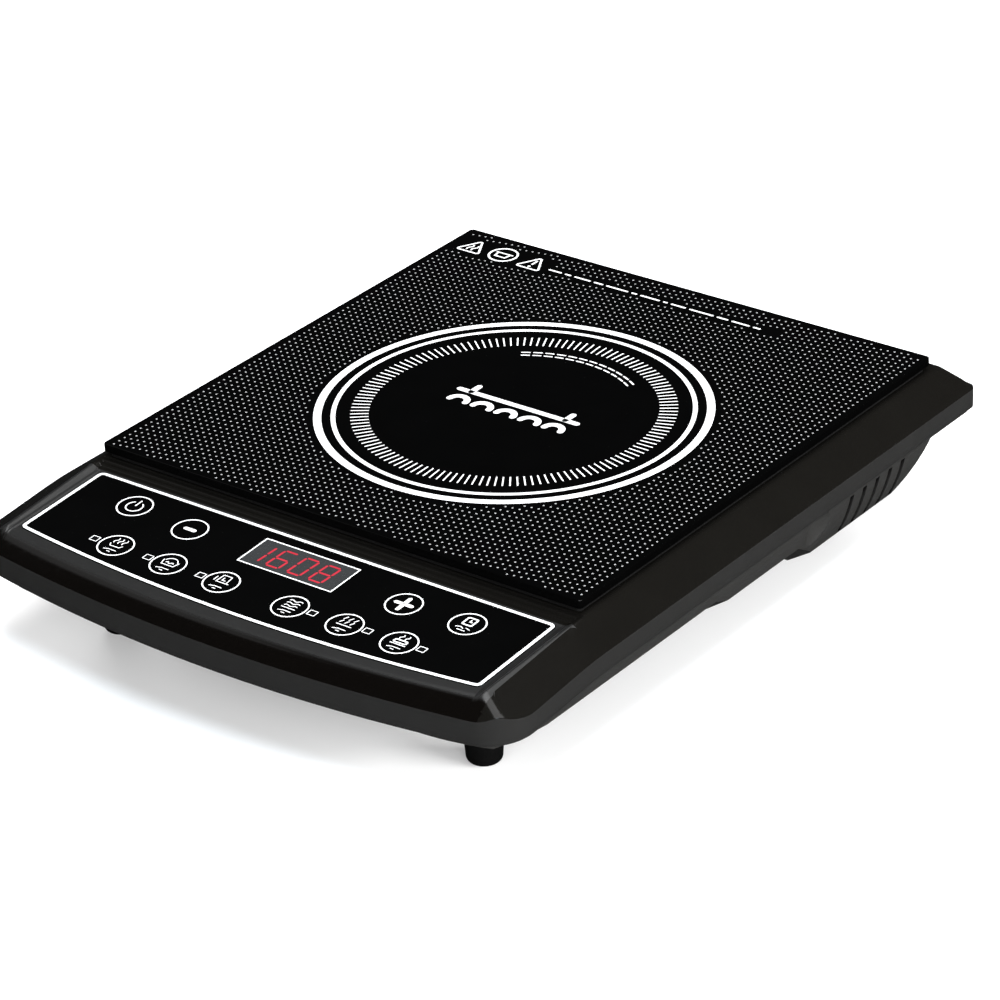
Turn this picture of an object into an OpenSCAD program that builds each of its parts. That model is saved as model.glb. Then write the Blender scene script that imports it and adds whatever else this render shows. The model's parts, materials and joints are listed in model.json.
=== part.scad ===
// Portable induction cooktop: one cooking zone, a sloping front control panel, two plastic shells.
// Origin at the centre of the footprint, on the plane that the feet stand on. Front is -Y, up is +Z.

/* [Body] */
// Half of the overall width, at the skirt
half_w = 140.5; // [140:0.5:141]
// Rear face of the skirt
rear_y = 177.5; // [177:0.5:178]
// Foremost point of the bowed front skirt
front_y = -177.5; // [-178:0.5:-177]
// Radius of the front bow in plan
bow_r = 750; // [720:10:800]
// Corner radius at the front
front_corner_r = 20; // [16:1:22]
// Corner radius at the rear
rear_corner_r = 3.5; // [3:0.5:5]
// Wall thickness of both shells
wall = 2.5; // [2.2:0.1:2.6]

/* [Heights] */
// Top of the glass plate above the feet
glass_top = 68; // [68:0.5:70]
// Glass thickness
glass_t = 4; // [3.5:0.5:4]
// Deck that carries the glass seal, and the upper edge of the flanks
deck_z = 61.7; // [61.5:0.1:62]
// Upper edge of the side skirt
skirt_z = 52.2; // [52:0.1:52.5]
// Height of the skirt band
skirt_h = 9.2; // [9:0.1:9.4]

/* [Glass] */
// Glass width
glass_w = 250; // [249:0.5:251]
// Glass depth
glass_d = 260; // [259:0.5:261]
// Corner radius of the glass
glass_corner_r = 2; // [1.5:0.5:4]
// Centre of the glass along Y
glass_y = 34.5; // [34:0.5:35]
// Centre of the cooking zone along X
zone_x = 3; // [2:0.5:4]
// Centre of the cooking zone along Y
zone_y = 25; // [24:0.5:26]

/* [Panel] */
// Fall of the control panel towards the front, in degrees
panel_tilt = 3.2; // [3:0.1:3.4]
// Rear edge of the control film along Y
panel_y = -103; // [-103.5:0.1:-102.5]
// Height of the panel face at that edge
panel_z = 58.9; // [58.7:0.1:59]
// Half width of the control film
film_half_w = 119.4; // [119:0.1:119.5]
// Film thickness
film_t = 0.4; // [0.3:0.05:0.5]
// Radius of a key
key_r = 8.4; // [8.2:0.1:8.4]

/* [Hidden] */
$fn = 96;

// Colours, and the fine circle that the large bows need
body_black = [0.11, 0.105, 0.1];
part_black = [0.05, 0.05, 0.05];
board_green = [0.05, 0.25, 0.12];
fine = 720;

// Flank planes. The upper edge of the flank lies at flank_x on the deck, and falls towards the front
flank_x = 126;
flank_rise = (deck_z - skirt_z) / (half_w - flank_x);
front_fall = 0.088;
front_rise = 0.556;
front_start_y = -92;
rear_rim_y = 170;
skirt_break_y = -108;
roll_z = 48.4;

// Panel details, in the panel's own frame: X across, Y up the slope, Z out of the face
film_depth = 52;
film_bow_r = 850;
film_corner_r = 3;
KEYS = [[-88, -15], [-55.5, -17.8], [57, -18.8], [88, -17.8],
    [-74, -43.3], [-45.5, -43.5], [-17.5, -43.3], [18.5, -43.5], [46, -43], [73, -42.5]];
LEDS = [[-85.3, -43.3], [-56.2, -43.5], [-28.3, -43.3], [29.4, -42.8], [56.8, -42], [83.7, -41.8]];
led_w = 4;
led_d = 3.6;
window_x = 1.4;
window_y = -16.8;
window_w = 48.4;
window_d = 19.2;
board_w = -10;
board_t = 1.6;
switch_h = 3.5;
key_gap = 0.05;
plunger_r = 1.75;

// Places of screws and feet
SCREWS = [[112, -140], [-112, -140], [121.5, -30], [-121.5, -30], [121.5, 105], [-121.5, 105]];
screw_r = 1.5;
web_z = 40;
tongue_z = 46;
foot_x = 96;
foot_front_y = -123.5;
rear_foot_x = 94;
rear_foot_y = 116;
foot_h = 12;
plug_r = 3;

// Lower shell: waist and floor heights of the front bay, the middle bay and the rear tub.
// The walls lean in and curve under towards the waist, and lean more around the tub's corners
front_waist = 36.9;
front_floor = 24;
front_floor_x = 108;
front_floor_y = -137;
mid_waist = 32.2;
mid_floor = 18;
tub_waist = 21.5;
tub_floor = 12;
floor_half_w = 118;
wall_lean = 0.17;
wall_curve = 0.0088;
corner_lean = 0.3;
tub_cx = 93.4;
tub_cy = 116.7;
tub_corner_r = 52.9;
tub_floor_r = 25;
front_plan_r = 45;
well_half_w = 107;
mid_well_y = -22;
tub_well_y = 28;
finger_x = 147;
finger_y = 54;
finger_z = 34.5;
finger_r = 13;
vent_x = 127;
vent_y = 78.3;
vent_pitch = 10;
vent_w = 3;
vent_top = 41.3;
part_z = skirt_z - skirt_h;
part_half = half_w - 1;
// Depths under the part line where the walls bend; every bay shares them
wall_steps = [0, 3, part_z - front_waist, part_z - mid_waist, 16, part_z - tub_waist];

// Fan, boards and coil
fan_x = -60;
fan_y = 78;
fan_w = 88;
fan_bore_r = 41.5;
fan_h = 25;
fan_z = tub_floor + wall;
pcb_z = 23;
pcb_top = pcb_z + 1.6;
coil_turns = 18;
coil_r0 = 26;
coil_pitch = 3;
wire_r = 1.5;
carrier_z = 56;
carrier_t = 2.5;
coil_z = carrier_z + carrier_t + wire_r;
arm_r = 100;
ferrite_h = 5;
gland_x = -40;
gland_z = 31;
gland_block = [24, 20, 21];
gland_block_y = 150;
cord_r = 4;

// ---- shared shapes ----

// A plate outline with a bowed front edge and four rounded corners, all moved in by inset
module bowed_outline(hw, back, front, bow, rf, rear_r, inset) {
    rb = max(rear_r, inset + 0.5);
    bow_y = front + bow;
    fx = hw - rf;
    fy = bow_y - sqrt((bow - rf) * (bow - rf) - fx * fx);
    reach = (bow + 20) / (bow - rf);
    intersection() {
        translate([0, bow_y]) circle(r = bow - inset, $fn = fine);
        polygon([[-fx, fy], [-fx * reach, bow_y + (fy - bow_y) * reach],
            [fx * reach, bow_y + (fy - bow_y) * reach], [fx, fy]]);
    }
    translate([-hw + inset, fy]) square([2 * (hw - inset), back - rb - fy]);
    translate([-hw + rb, fy]) square([2 * (hw - rb), back - inset - fy]);
    for (s = [-1, 1]) {
        translate([s * fx, fy]) circle(r = rf - inset);
        translate([s * (hw - rb), back - rb]) circle(r = rb - inset);
    }
}

module outline(inset) {
    bowed_outline(half_w, rear_y, front_y, bow_r, front_corner_r, rear_corner_r, inset);
}

module film_outline(inset) {
    bowed_outline(film_half_w, 0, -film_depth - 8.3, film_bow_r, film_corner_r, film_corner_r, inset);
}

// A rounded rectangle, centred
module rounded(w, d, r) {
    square([w - 2 * r, d], center = true);
    square([w, d - 2 * r], center = true);
    for (x = [-1, 1], y = [-1, 1]) translate([x * (w / 2 - r), y * (d / 2 - r)]) circle(r = r);
}

// Extrudes a YZ outline along X, and an XZ outline along Y
module along_x(half) {
    translate([-half, 0, 0]) rotate([90, 0, 90]) linear_extrude(2 * half) children();
}

module along_y(y0, y1) {
    translate([0, y1, 0]) rotate([90, 0, 0]) linear_extrude(y1 - y0) children();
}

module on_panel() {
    translate([0, panel_y, panel_z]) rotate([panel_tilt, 0, 0]) children();
}

module both_sides() {
    children();
    mirror([1, 0, 0]) children();
}

// ---- upper shell ----

// Everything above the flank planes and the rear slope, moved in by inset
module slopes(inset) {
    rise = atan(flank_rise);
    side = atan(front_rise);
    fall = asin(front_fall / norm([front_rise, front_fall, 1]));
    back = atan((deck_z - skirt_z) / (rear_y - rear_rim_y));
    both_sides() {
        translate([half_w, 0, skirt_z]) rotate([0, rise, 0])
            translate([-60, -300, -inset]) cube([120, 600, 60]);
        translate([flank_x, front_start_y, deck_z]) rotate([fall, side, 0])
            translate([-60, -300, -inset]) cube([120, 600, 60]);
    }
    translate([0, rear_y, skirt_z]) rotate([-back, 0, 0])
        translate([-300, -60, -inset]) cube([600, 120, 60]);
}

// The sunk panel with three low ridges behind it, moved in by inset
module panel_recess(inset) {
    step_y = 2.5;
    back_y = -94.5;
    ridge_z = 61;
    riser = 0.1;
    drop = tan(panel_tilt);
    step_z = (ridge_z - riser - panel_z - (back_y - 3 * step_y - panel_y) * drop) / 3;
    translate([0, inset * 0.6, -inset]) intersection() {
        along_x(140) polygon(concat([[back_y, 80], [back_y, ridge_z]],
            [for (i = [1 : 3], j = [0, 1]) [back_y - step_y * i, ridge_z - riser - step_z * (i - 1 + j)]],
            [[-220, panel_z + (-220 - panel_y) * drop], [-220, 80]]));
        on_panel() along_y(-120, 20)
            polygon([[-122.5 - inset, -4], [122.5 + inset, -4], [122.5 + inset, 0.4],
                [127 + inset, 3.4], [127 + inset, 25], [-127 - inset, 25], [-127 - inset, 3.4],
                [-122.5 - inset, 0.4]]);
    }
}

// The full form of the upper shell with its front roll-off, moved in by inset
module upper_form(inset) {
    knee = roll_z - inset * 0.41;
    inner_r = bow_r - 400;
    difference() {
        intersection() {
            translate([0, 0, 30]) linear_extrude(deck_z - inset - 30) outline(inset);
            translate([0, front_y + bow_r, 0]) rotate_extrude($fn = fine)
                polygon([[inner_r, 20], [bow_r - inset, 20], [bow_r - inset, knee],
                    [bow_r - inset - 20, knee + 20.6], [inner_r, knee + 20.6]]);
        }
        slopes(inset);
        panel_recess(inset);
    }
}

// Everything under the skirt's lower edge
module below_skirt() {
    along_x(200) polygon([[-300, -10], [300, -10], [300, part_z], [skirt_break_y, part_z],
        [-300, part_z - (skirt_break_y + 300) * front_fall]]);
}

module top_shell() {
    color(body_black) {
        difference() {
            union() {
                difference() {
                    upper_form(0);
                    upper_form(wall);
                    below_skirt();
                    translate([-117, -86, 50]) cube([234, 242, 20]);
                }
                intersection() {
                    upper_form(0);
                    union() {
                        for (p = SCREWS) translate([p[0], p[1], tongue_z]) cylinder(r = 4, h = 20);
                        on_panel() for (x = [-92, 92], y = [-8, -50])
                            translate([x, y, board_w]) cylinder(r = 3, h = -board_w - 0.5);
                    }
                }
            }
            for (p = SCREWS) translate([p[0], p[1], tongue_z - 1]) cylinder(r = screw_r, h = 9);
            on_panel() {
                for (k = KEYS) translate([k[0], k[1], -6]) cylinder(r = key_r + 0.3, h = 10);
                for (k = LEDS) translate([k[0], k[1], 0]) cube([led_w - 1.4, led_d - 0.6, 12], center = true);
                translate([window_x, window_y, 0]) cube([window_w - 2, window_d - 2, 12], center = true);
            }
        }
    }
}

// ---- glass, seal and control film ----

module glass_plate() {
    color(part_black) translate([0, glass_y, glass_top - glass_t])
        linear_extrude(glass_t) rounded(glass_w, glass_d, glass_corner_r);
}

module glass_seal() {
    color(part_black) translate([0, glass_y, deck_z]) difference() {
        linear_extrude(glass_top - glass_t - deck_z) rounded(glass_w - 4, glass_d - 4, glass_corner_r);
        translate([0, 0, -1]) linear_extrude(9) rounded(glass_w - 14, glass_d - 14, 3);
    }
}

module panel_film() {
    color(part_black) on_panel() difference() {
        linear_extrude(film_t) film_outline(0);
        for (k = KEYS) translate([k[0], k[1], -1]) cylinder(r = key_r + key_gap, h = 3);
        for (k = LEDS) translate([k[0], k[1], 0]) cube([led_w, led_d, 3], center = true);
        translate([window_x, window_y, 0]) cube([window_w, window_d, 3], center = true);
    }
}

module display_lens() {
    color([0.2, 0.2, 0.21]) on_panel() {
        translate([window_x - window_w / 2, window_y - window_d / 2, 0]) cube([window_w, window_d, film_t]);
        translate([window_x - window_w / 2 + 1, window_y - window_d / 2 + 1, -1])
            cube([window_w - 2, window_d - 2, 1]);
    }
}

module led_lenses() {
    color([0.2, 0.2, 0.21]) on_panel() for (k = LEDS)
        translate([k[0] - led_w / 2, k[1] - led_d / 2, 0]) cube([led_w, led_d, film_t]);
}

// One round key of the control film, and the pusher that carries its stroke to the switch below
module key(i) {
    color(part_black) on_panel() translate([KEYS[i][0], KEYS[i][1], 0]) cylinder(r = key_r, h = film_t);
}

module pusher(i) {
    color("white") on_panel() translate([KEYS[i][0], KEYS[i][1], 0]) {
        translate([0, 0, -1]) cylinder(r = 4, h = 1);
        translate([0, 0, board_w + switch_h - 0.5]) cylinder(r = plunger_r, h = -board_w - switch_h);
    }
}

// ---- control board ----

module tact_switches() {
    color("silver") on_panel() for (k = KEYS) translate([k[0], k[1], board_w]) difference() {
        translate([-3, -3, 0]) cube([6, 6, switch_h]);
        translate([0, 0, switch_h - 1.2]) cylinder(r = plunger_r + key_gap, h = 3);
    }
}

module display_module() {
    color([0.15, 0.15, 0.15]) on_panel() translate([window_x - 25.15, window_y - 9.5, board_w])
        cube([50.3, 19, -board_w - wall - 0.3]);
}

module status_leds() {
    color("red") on_panel() for (k = LEDS) translate([k[0], k[1], board_w]) {
        cylinder(r = 1.5, h = 5);
        translate([0, 0, 5]) sphere(r = 1.5);
    }
}

module control_pcb() {
    color(board_green) on_panel() translate([-97, -54, board_w - board_t]) cube([194, 50, board_t]);
}

module ribbon_cable() {
    // From the back of the control board, down behind it and along the floor to the main board
    color("lightgrey") translate([18, 0, 0]) along_x(6)
        polygon([[-119, 45.5], [-100, 46.2], [-60, 42], [-30, 34], [-11.5, pcb_top], [-7, pcb_top],
            [-7, pcb_top + 1], [-11, pcb_top + 1], [-29.4, 35], [-60, 43], [-100, 47], [-119, 46.3]]);
}

// ---- lower shell ----

// The wall line of a bay from its upper edge to its floor, as distance out against height.
// It is moved in by t; x0 is the distance out at the part line
function wall_line(x0, waist, floor_x, floor_z, lean, t) = concat(
    [[x0 - t, part_z + 9]],
    [for (h = wall_steps) if (h < part_z - waist + 0.1)
        [x0 - t - h * (lean + wall_curve * h), part_z - h + 0.5 * t]],
    [[floor_x - 0.4 * t, floor_z + t]]);

function both_ways(line) = concat(line, [for (i = [len(line) - 1 : -1 : 0]) [-line[i][0], line[i][1]]]);

module bay(waist, floor_x, floor_z, t) {
    polygon(both_ways(wall_line(part_half, waist, floor_x, floor_z, wall_lean, t)));
}

module tub_corner(t) {
    polygon(concat([[0, part_z + 9]],
        wall_line(tub_corner_r, tub_waist, tub_floor_r, tub_floor, wall_lean + corner_lean, t),
        [[0, tub_floor + t]]));
}

// The lower shell's outer form, moved in by t: front bay, middle bay and boat-shaped rear tub
module lower_form(t) {
    top = part_z + 8;
    intersection() {
        along_y(-176, 0) bay(front_waist, front_floor_x, front_floor, t);
        along_x(200) polygon([[-176 + t, top], [-172 + t, 38], [front_floor_y + t, front_floor + t],
            [0, front_floor + t], [0, top]]);
    }
    intersection() {
        along_y(-60, 60) bay(mid_waist, floor_half_w, mid_floor, t);
        along_x(200) polygon([[-28 + t, top], [-21 + t, front_waist + t], [-10 + t, mid_waist + t],
            [-4 + t, mid_floor + t], [60, mid_floor + t], [60, top]]);
    }
    intersection() {
        along_y(0, tub_cy) bay(tub_waist, floor_half_w, tub_floor, t);
        along_x(200) polygon([[34 + t, top], [42 + t, mid_waist + t], [58 + t, 22.6 + t],
            [62 + t, tub_floor + t], [tub_cy, tub_floor + t], [tub_cy, top]]);
    }
    // Straight-sided wells that make room for the main board and the fan
    translate([-well_half_w + t, mid_well_y + t, mid_floor + t])
        cube([2 * (well_half_w - t), 50 - t, top - mid_floor - t]);
    translate([-well_half_w + t, tub_well_y + t, tub_floor + t])
        cube([2 * (well_half_w - t), tub_cy - tub_well_y - t, top - tub_floor - t]);
    intersection() {
        for (s = [-1, 1]) translate([s * tub_cx, tub_cy, 0]) rotate_extrude() tub_corner(t);
        along_y(0, rear_y) bay(tub_waist, floor_half_w, tub_floor, t);
    }
    translate([0, tub_cy, 0]) along_x(tub_cx) tub_corner(t);
}

module bottom_shell() {
    grille_r = [8, 15, 22, 29, 36];
    color(body_black) difference() {
        union() {
            difference() {
                union() {
                    intersection() {
                        lower_form(0);
                        below_skirt();
                        linear_extrude(60) bowed_outline(half_w, rear_y, front_y, bow_r, front_plan_r,
                            rear_corner_r, 1);
                    }
                    intersection() {
                        translate([0, 0, part_z - wall]) linear_extrude(tongue_z - part_z + wall) outline(2.7);
                        along_x(200) polygon([[-300, 39], [300, 39], [300, 60], [-300, 60]]);
                    }
                }
                intersection() {
                    lower_form(wall);
                    linear_extrude(60) outline(5.2);
                }
                translate([0, 0, part_z]) linear_extrude(9) outline(5.2);
            }
            intersection() {
                union() {
                    lower_form(0);
                    translate([0, 0, part_z]) linear_extrude(9) outline(5.2);
                }
                union() {
                    for (p = SCREWS) translate([p[0], p[1], 10]) cylinder(r = 5, h = tongue_z - 10);
                    for (a = [0 : 90 : 270]) translate([zone_x + arm_r * cos(a), zone_y + arm_r * sin(a), 10])
                        cylinder(r = 4.5, h = part_z - 10);
                    for (x = [-4, 88], y = [-8, 112]) translate([x, y, 10]) cylinder(r = 3, h = pcb_z - 10);
                    intersection() {
                        below_skirt();
                        for (s = [-1, 1]) translate([s * finger_x, finger_y, finger_z])
                            sphere(r = finger_r + wall, $fn = 24);
                    }
                }
            }
            for (a = [0 : 90 : 270]) translate([zone_x + arm_r * cos(a), zone_y + arm_r * sin(a), part_z - 2])
                cylinder(r = 4.5, h = carrier_z - part_z + 2);
            for (s = [-1, 1]) translate([s * foot_x, foot_front_y, foot_h])
                cylinder(r = 8.8, h = front_floor - foot_h + 1);
            translate([gland_x - gland_block[0] / 2, gland_block_y, gland_z - 10]) cube(gland_block);
        }
        for (p = SCREWS) {
            translate([p[0], p[1], 0]) cylinder(r = 3.4, h = web_z);
            translate([p[0], p[1], 0]) cylinder(r = screw_r + 0.2, h = 60);
        }
        for (s = [-1, 1]) {
            translate([s * foot_x, foot_front_y, foot_h - 1]) cylinder(r = plug_r, h = 7);
            translate([s * rear_foot_x, rear_foot_y, tub_floor - 1]) cylinder(r = plug_r, h = 8);
            // Side vents in the tub, and the finger recess ahead of them
            for (i = [0 : 4]) translate([s * (vent_x + 10) - 10, vent_y + vent_pitch * i, tub_waist + 0.3])
                cube([20, vent_w, vent_top - tub_waist - 0.3]);
            translate([s * finger_x, finger_y, finger_z]) sphere(r = finger_r, $fn = 24);
        }
        translate([gland_x, 100, gland_z]) rotate([-90, 0, 0]) cylinder(r = 7, h = 80);
        // Air inlet under the fan: rings of slots crossed by four ribs
        translate([fan_x, fan_y, tub_floor - 1]) difference() {
            for (r = grille_r) difference() {
                cylinder(r = r + 4, h = wall + 2);
                translate([0, 0, -1]) cylinder(r = r, h = wall + 4);
            }
            for (a = [0, 90]) rotate([0, 0, a]) translate([-50, -2, -1]) cube([100, 4, wall + 4]);
        }
    }
}

// A rubber foot with a rounded sole and a plug that presses into the shell
module foot(x, y, plug_h) {
    color(part_black) translate([x, y, 0]) {
        rotate_extrude() polygon(concat([[0, 0], [4.6, 0]],
            [for (a = [-80 : 10 : 0]) [4.6 + 3 * cos(a), 3 + 3 * sin(a)]],
            [[8.3, foot_h], [0, foot_h]]));
        translate([0, 0, foot_h - 0.5]) cylinder(r = plug_r, h = plug_h + 0.5);
    }
}

module case_screws() {
    color("silver") for (p = SCREWS) translate([p[0], p[1], 0]) {
        difference() {
            translate([0, 0, web_z - 2.4]) cylinder(r = 3, h = 2.4);
            translate([-2.2, -0.4, web_z - 3]) cube([4.4, 0.8, 1.4]);
            translate([-0.4, -2.2, web_z - 3]) cube([0.8, 4.4, 1.4]);
        }
        translate([0, 0, web_z - 0.5]) cylinder(r = screw_r, h = 13.5);
    }
}

module cable_gland() {
    color(part_black) translate([gland_x, 0, gland_z]) rotate([-90, 0, 0]) difference() {
        union() {
            translate([0, 0, 146]) cylinder(r = 7, h = 24);
            translate([0, 0, 146]) cylinder(r = 9, h = 2);
            translate([0, 0, 170]) cylinder(r = 9, h = 2);
            translate([0, 0, 172]) cylinder(r1 = 7, r2 = 6, h = 5.5);
        }
        translate([0, 0, 140]) cylinder(r = cord_r, h = 60);
    }
}

// ---- coil and sensor ----

module at_zone() {
    translate([zone_x, zone_y, 0]) children();
}

module induction_coil() {
    color("chocolate") at_zone() for (i = [0 : coil_turns - 1])
        translate([0, 0, coil_z]) rotate_extrude() translate([coil_r0 + coil_pitch * i, 0]) circle(r = wire_r - 0.01, $fn = 24);
}

module coil_carrier() {
    color([0.85, 0.83, 0.78]) at_zone() difference() {
        union() {
            translate([0, 0, carrier_z]) cylinder(r = 84, h = carrier_t);
            for (a = [0, 90]) rotate([0, 0, a]) translate([-arm_r - 6, -6, carrier_z]) cube([2 * arm_r + 12, 12, carrier_t]);
        }
        translate([0, 0, carrier_z - 1]) cylinder(r = 14, h = 9);
        for (x = [coil_r0, coil_r0 + coil_pitch * (coil_turns - 1)])
            translate([x, 0, carrier_z - 1]) cylinder(r = 2, h = 9);
        for (a = [30 : 60 : 330]) rotate([0, 0, a]) translate([20, -13, carrier_z - 1]) cube([56, 2, 9]);
    }
}

module ferrite_bars() {
    color([0.2, 0.2, 0.22]) at_zone() for (a = [30 : 60 : 330])
        rotate([0, 0, a]) translate([26, -6, carrier_z - ferrite_h]) cube([50, 12, ferrite_h]);
}

module mica_sheet() {
    color([0.8, 0.76, 0.68]) at_zone() translate([0, 0, coil_z + wire_r]) difference() {
        cylinder(r = 82, h = 0.6);
        translate([0, 0, -1]) cylinder(r = 12, h = 3);
    }
}

module sensor_holder() {
    color([0.9, 0.9, 0.88]) at_zone() difference() {
        union() {
            translate([0, 0, carrier_z - 4]) cylinder(r = 16, h = 4);
            translate([0, 0, carrier_z - 4]) cylinder(r = 11, h = 11.4);
        }
        translate([0, 0, carrier_z - 2]) cylinder(r = 6, h = 12);
    }
}

module temperature_sensor() {
    color("white") at_zone() translate([0, 0, carrier_z - 2]) {
        cylinder(r = 6, h = 8);
        translate([0, 0, 7]) cylinder(r = 4, h = glass_top - glass_t - carrier_z - 5);
    }
}

module coil_leads() {
    color("chocolate") at_zone() for (x = [coil_r0, coil_r0 + coil_pitch * (coil_turns - 1)])
        translate([x, 0, pcb_top + 8]) cylinder(r = 1.4, h = coil_z - wire_r - pcb_top - 8);
}

module coil_terminals() {
    color("gold") at_zone() for (x = [coil_r0, coil_r0 + coil_pitch * (coil_turns - 1)])
        translate([x - 4, -4, pcb_top]) cube([8, 8, 8]);
}

// ---- main board ----

module on_pcb(x, y) {
    translate([x, y, pcb_top]) children();
}

module main_pcb() {
    color(board_green) translate([-8, -12, pcb_z]) cube([100, 128, pcb_top - pcb_z]);
}

module heatsink() {
    color("silver") on_pcb(0, 70) {
        cube([60, 4, 22]);
        translate([0, 3.5, 0]) cube([60, 34.5, 3]);
        for (i = [0 : 9]) translate([i * 6.4, 3.5, 2.5]) cube([2, 34.5, 19.5]);
    }
}

module igbt() {
    color(part_black) on_pcb(6, 65) {
        translate([0, 0, 3]) cube([16, 5, 18]);
        for (i = [0 : 2]) translate([2.2 + 4.8 * i, 1.5, 0]) cube([2, 1, 4]);
    }
}

module bridge_rectifier() {
    color(part_black) on_pcb(28, 65) {
        translate([0, 0, 3]) cube([30, 5, 17]);
        for (i = [0 : 3]) translate([2.5 + 7.8 * i, 1.5, 0]) cube([1.6, 1, 4]);
    }
}

module filter_capacitor() {
    color([0.9, 0.75, 0.1]) on_pcb(-2, -6) cube([30, 16, 20]);
}

module resonant_capacitor() {
    color([0.75, 0.2, 0.1]) on_pcb(34, -6) cube([30, 18, 20]);
}

module choke() {
    color("chocolate") on_pcb(78, 6) translate([0, 0, 4.5]) rotate_extrude() translate([8, 0]) circle(r = 4.5, $fn = 32);
}

module transformer() {
    color([0.85, 0.8, 0.2]) on_pcb(66, 40) {
        cube([20, 16, 3]);
        translate([3, 2, 2.5]) cube([14, 12, 13]);
        translate([0, 4, 15]) cube([20, 8, 3]);
    }
}

module electrolytic_caps() {
    color([0.1, 0.15, 0.35]) for (x = [44, 56]) on_pcb(x, 46) cylinder(r = 5, h = 16);
}

module fuse() {
    color([0.85, 0.87, 0.88]) on_pcb(2, 46) translate([0, 0, 2.6]) rotate([0, 90, 0]) cylinder(r = 2.6, h = 20);
}

module buzzer() {
    color(part_black) on_pcb(78, 84) difference() {
        cylinder(r = 6, h = 7);
        translate([0, 0, 5]) cylinder(r = 1, h = 3);
    }
}

// ---- fan ----

module at_fan() {
    translate([fan_x, fan_y, fan_z]) children();
}

module fan_housing() {
    color(part_black) at_fan() difference() {
        union() {
            difference() {
                translate([-fan_w / 2, -fan_w / 2, 0]) cube([fan_w, fan_w, fan_h]);
                translate([0, 0, 2.5]) cylinder(r = fan_bore_r, h = fan_h);
                for (x = [-1, 1], y = [-1, 1]) translate([x * 38, y * 38, -1]) cylinder(r = 2.2, h = fan_h + 2);
                // Air passes between four arms that carry the motor
                translate([0, 0, -1]) difference() {
                    cylinder(r = fan_bore_r, h = 6);
                    translate([0, 0, -1]) cylinder(r = 15, h = 9);
                    for (a = [0, 90]) rotate([0, 0, a]) translate([-50, -2.5, -1]) cube([100, 5, 9]);
                }
            }
            translate([0, 0, 1]) cylinder(r = 3, h = 15);
        }
        translate([0, 0, 1]) cylinder(r = 1.5 + key_gap, h = 20);
    }
}

module fan_stator() {
    color("chocolate") at_fan() translate([0, 0, 3.5]) difference() {
        cylinder(r = 13, h = 11);
        translate([0, 0, -1]) cylinder(r = 3, h = 13);
    }
}

module fan_rotor() {
    color(part_black) at_fan() {
        difference() {
            translate([0, 0, 4]) cylinder(r = 17, h = 18);
            translate([0, 0, 3]) cylinder(r = 14.5, h = 16.5);
        }
        translate([0, 0, 2]) cylinder(r = 1.5, h = 18);
        for (a = [0 : 360 / 7 : 350]) rotate([0, 0, a]) intersection() {
            translate([16, 0, 13]) rotate([40, 0, 0]) translate([0, -11, -0.8]) cube([24, 22, 1.6]);
            translate([0, 0, 4.5]) cylinder(r = 39.5, h = 17);
        }
    }
}

glass_plate();
glass_seal();
top_shell();
panel_film();
display_lens();
led_lenses();
key(0);  // key_power
key(1);  // key_minus
key(2);  // key_plus
key(3);  // key_timer
key(4);  // key_mode_1
key(5);  // key_mode_2
key(6);  // key_mode_3
key(7);  // key_mode_4
key(8);  // key_mode_5
key(9);  // key_mode_6
pusher(0);  // pusher_power
pusher(1);  // pusher_minus
pusher(2);  // pusher_plus
pusher(3);  // pusher_timer
pusher(4);  // pusher_mode_1
pusher(5);  // pusher_mode_2
pusher(6);  // pusher_mode_3
pusher(7);  // pusher_mode_4
pusher(8);  // pusher_mode_5
pusher(9);  // pusher_mode_6
tact_switches();
display_module();
status_leds();
control_pcb();
ribbon_cable();
bottom_shell();
foot(-foot_x, foot_front_y, 5);  // foot_front_left
foot(foot_x, foot_front_y, 5);  // foot_front_right
foot(-rear_foot_x, rear_foot_y, wall);  // foot_rear_left
foot(rear_foot_x, rear_foot_y, wall);  // foot_rear_right
case_screws();
cable_gland();
induction_coil();
coil_carrier();
ferrite_bars();
mica_sheet();
sensor_holder();
temperature_sensor();
coil_leads();
coil_terminals();
main_pcb();
heatsink();
igbt();
bridge_rectifier();
filter_capacitor();
resonant_capacitor();
choke();
transformer();
electrolytic_caps();
fuse();
buzzer();
fan_housing();
fan_stator();
fan_rotor();
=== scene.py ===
import json
import math

import bpy
import numpy as np
from mathutils import Matrix, Vector
from mathutils.geometry import delaunay_2d_cdt


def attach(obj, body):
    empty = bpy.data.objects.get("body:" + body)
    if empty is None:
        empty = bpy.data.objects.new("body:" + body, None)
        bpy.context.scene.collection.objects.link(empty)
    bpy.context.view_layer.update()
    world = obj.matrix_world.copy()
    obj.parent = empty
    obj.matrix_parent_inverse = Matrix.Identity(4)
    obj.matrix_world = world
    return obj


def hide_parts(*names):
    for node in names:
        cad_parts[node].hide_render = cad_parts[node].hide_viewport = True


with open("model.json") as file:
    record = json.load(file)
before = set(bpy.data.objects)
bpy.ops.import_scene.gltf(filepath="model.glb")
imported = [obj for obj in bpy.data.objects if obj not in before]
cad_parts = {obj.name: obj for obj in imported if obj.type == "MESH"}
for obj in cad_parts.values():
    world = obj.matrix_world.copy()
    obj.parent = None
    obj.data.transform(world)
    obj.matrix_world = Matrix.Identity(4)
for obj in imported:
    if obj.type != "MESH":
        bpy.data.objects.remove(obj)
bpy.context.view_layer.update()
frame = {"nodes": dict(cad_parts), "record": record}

MM = 0.001

# -------- part.scad's own sizes, in millimetres
# The plan: straight sides and rear, and a bowed front
HALF_W, REAR_Y, FRONT_Y, BOW_R = 140.5, 177.5, -177.5, 750.0
FRONT_CORNER, REAR_CORNER, WALL = 20.0, 3.5, 2.5
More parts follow.
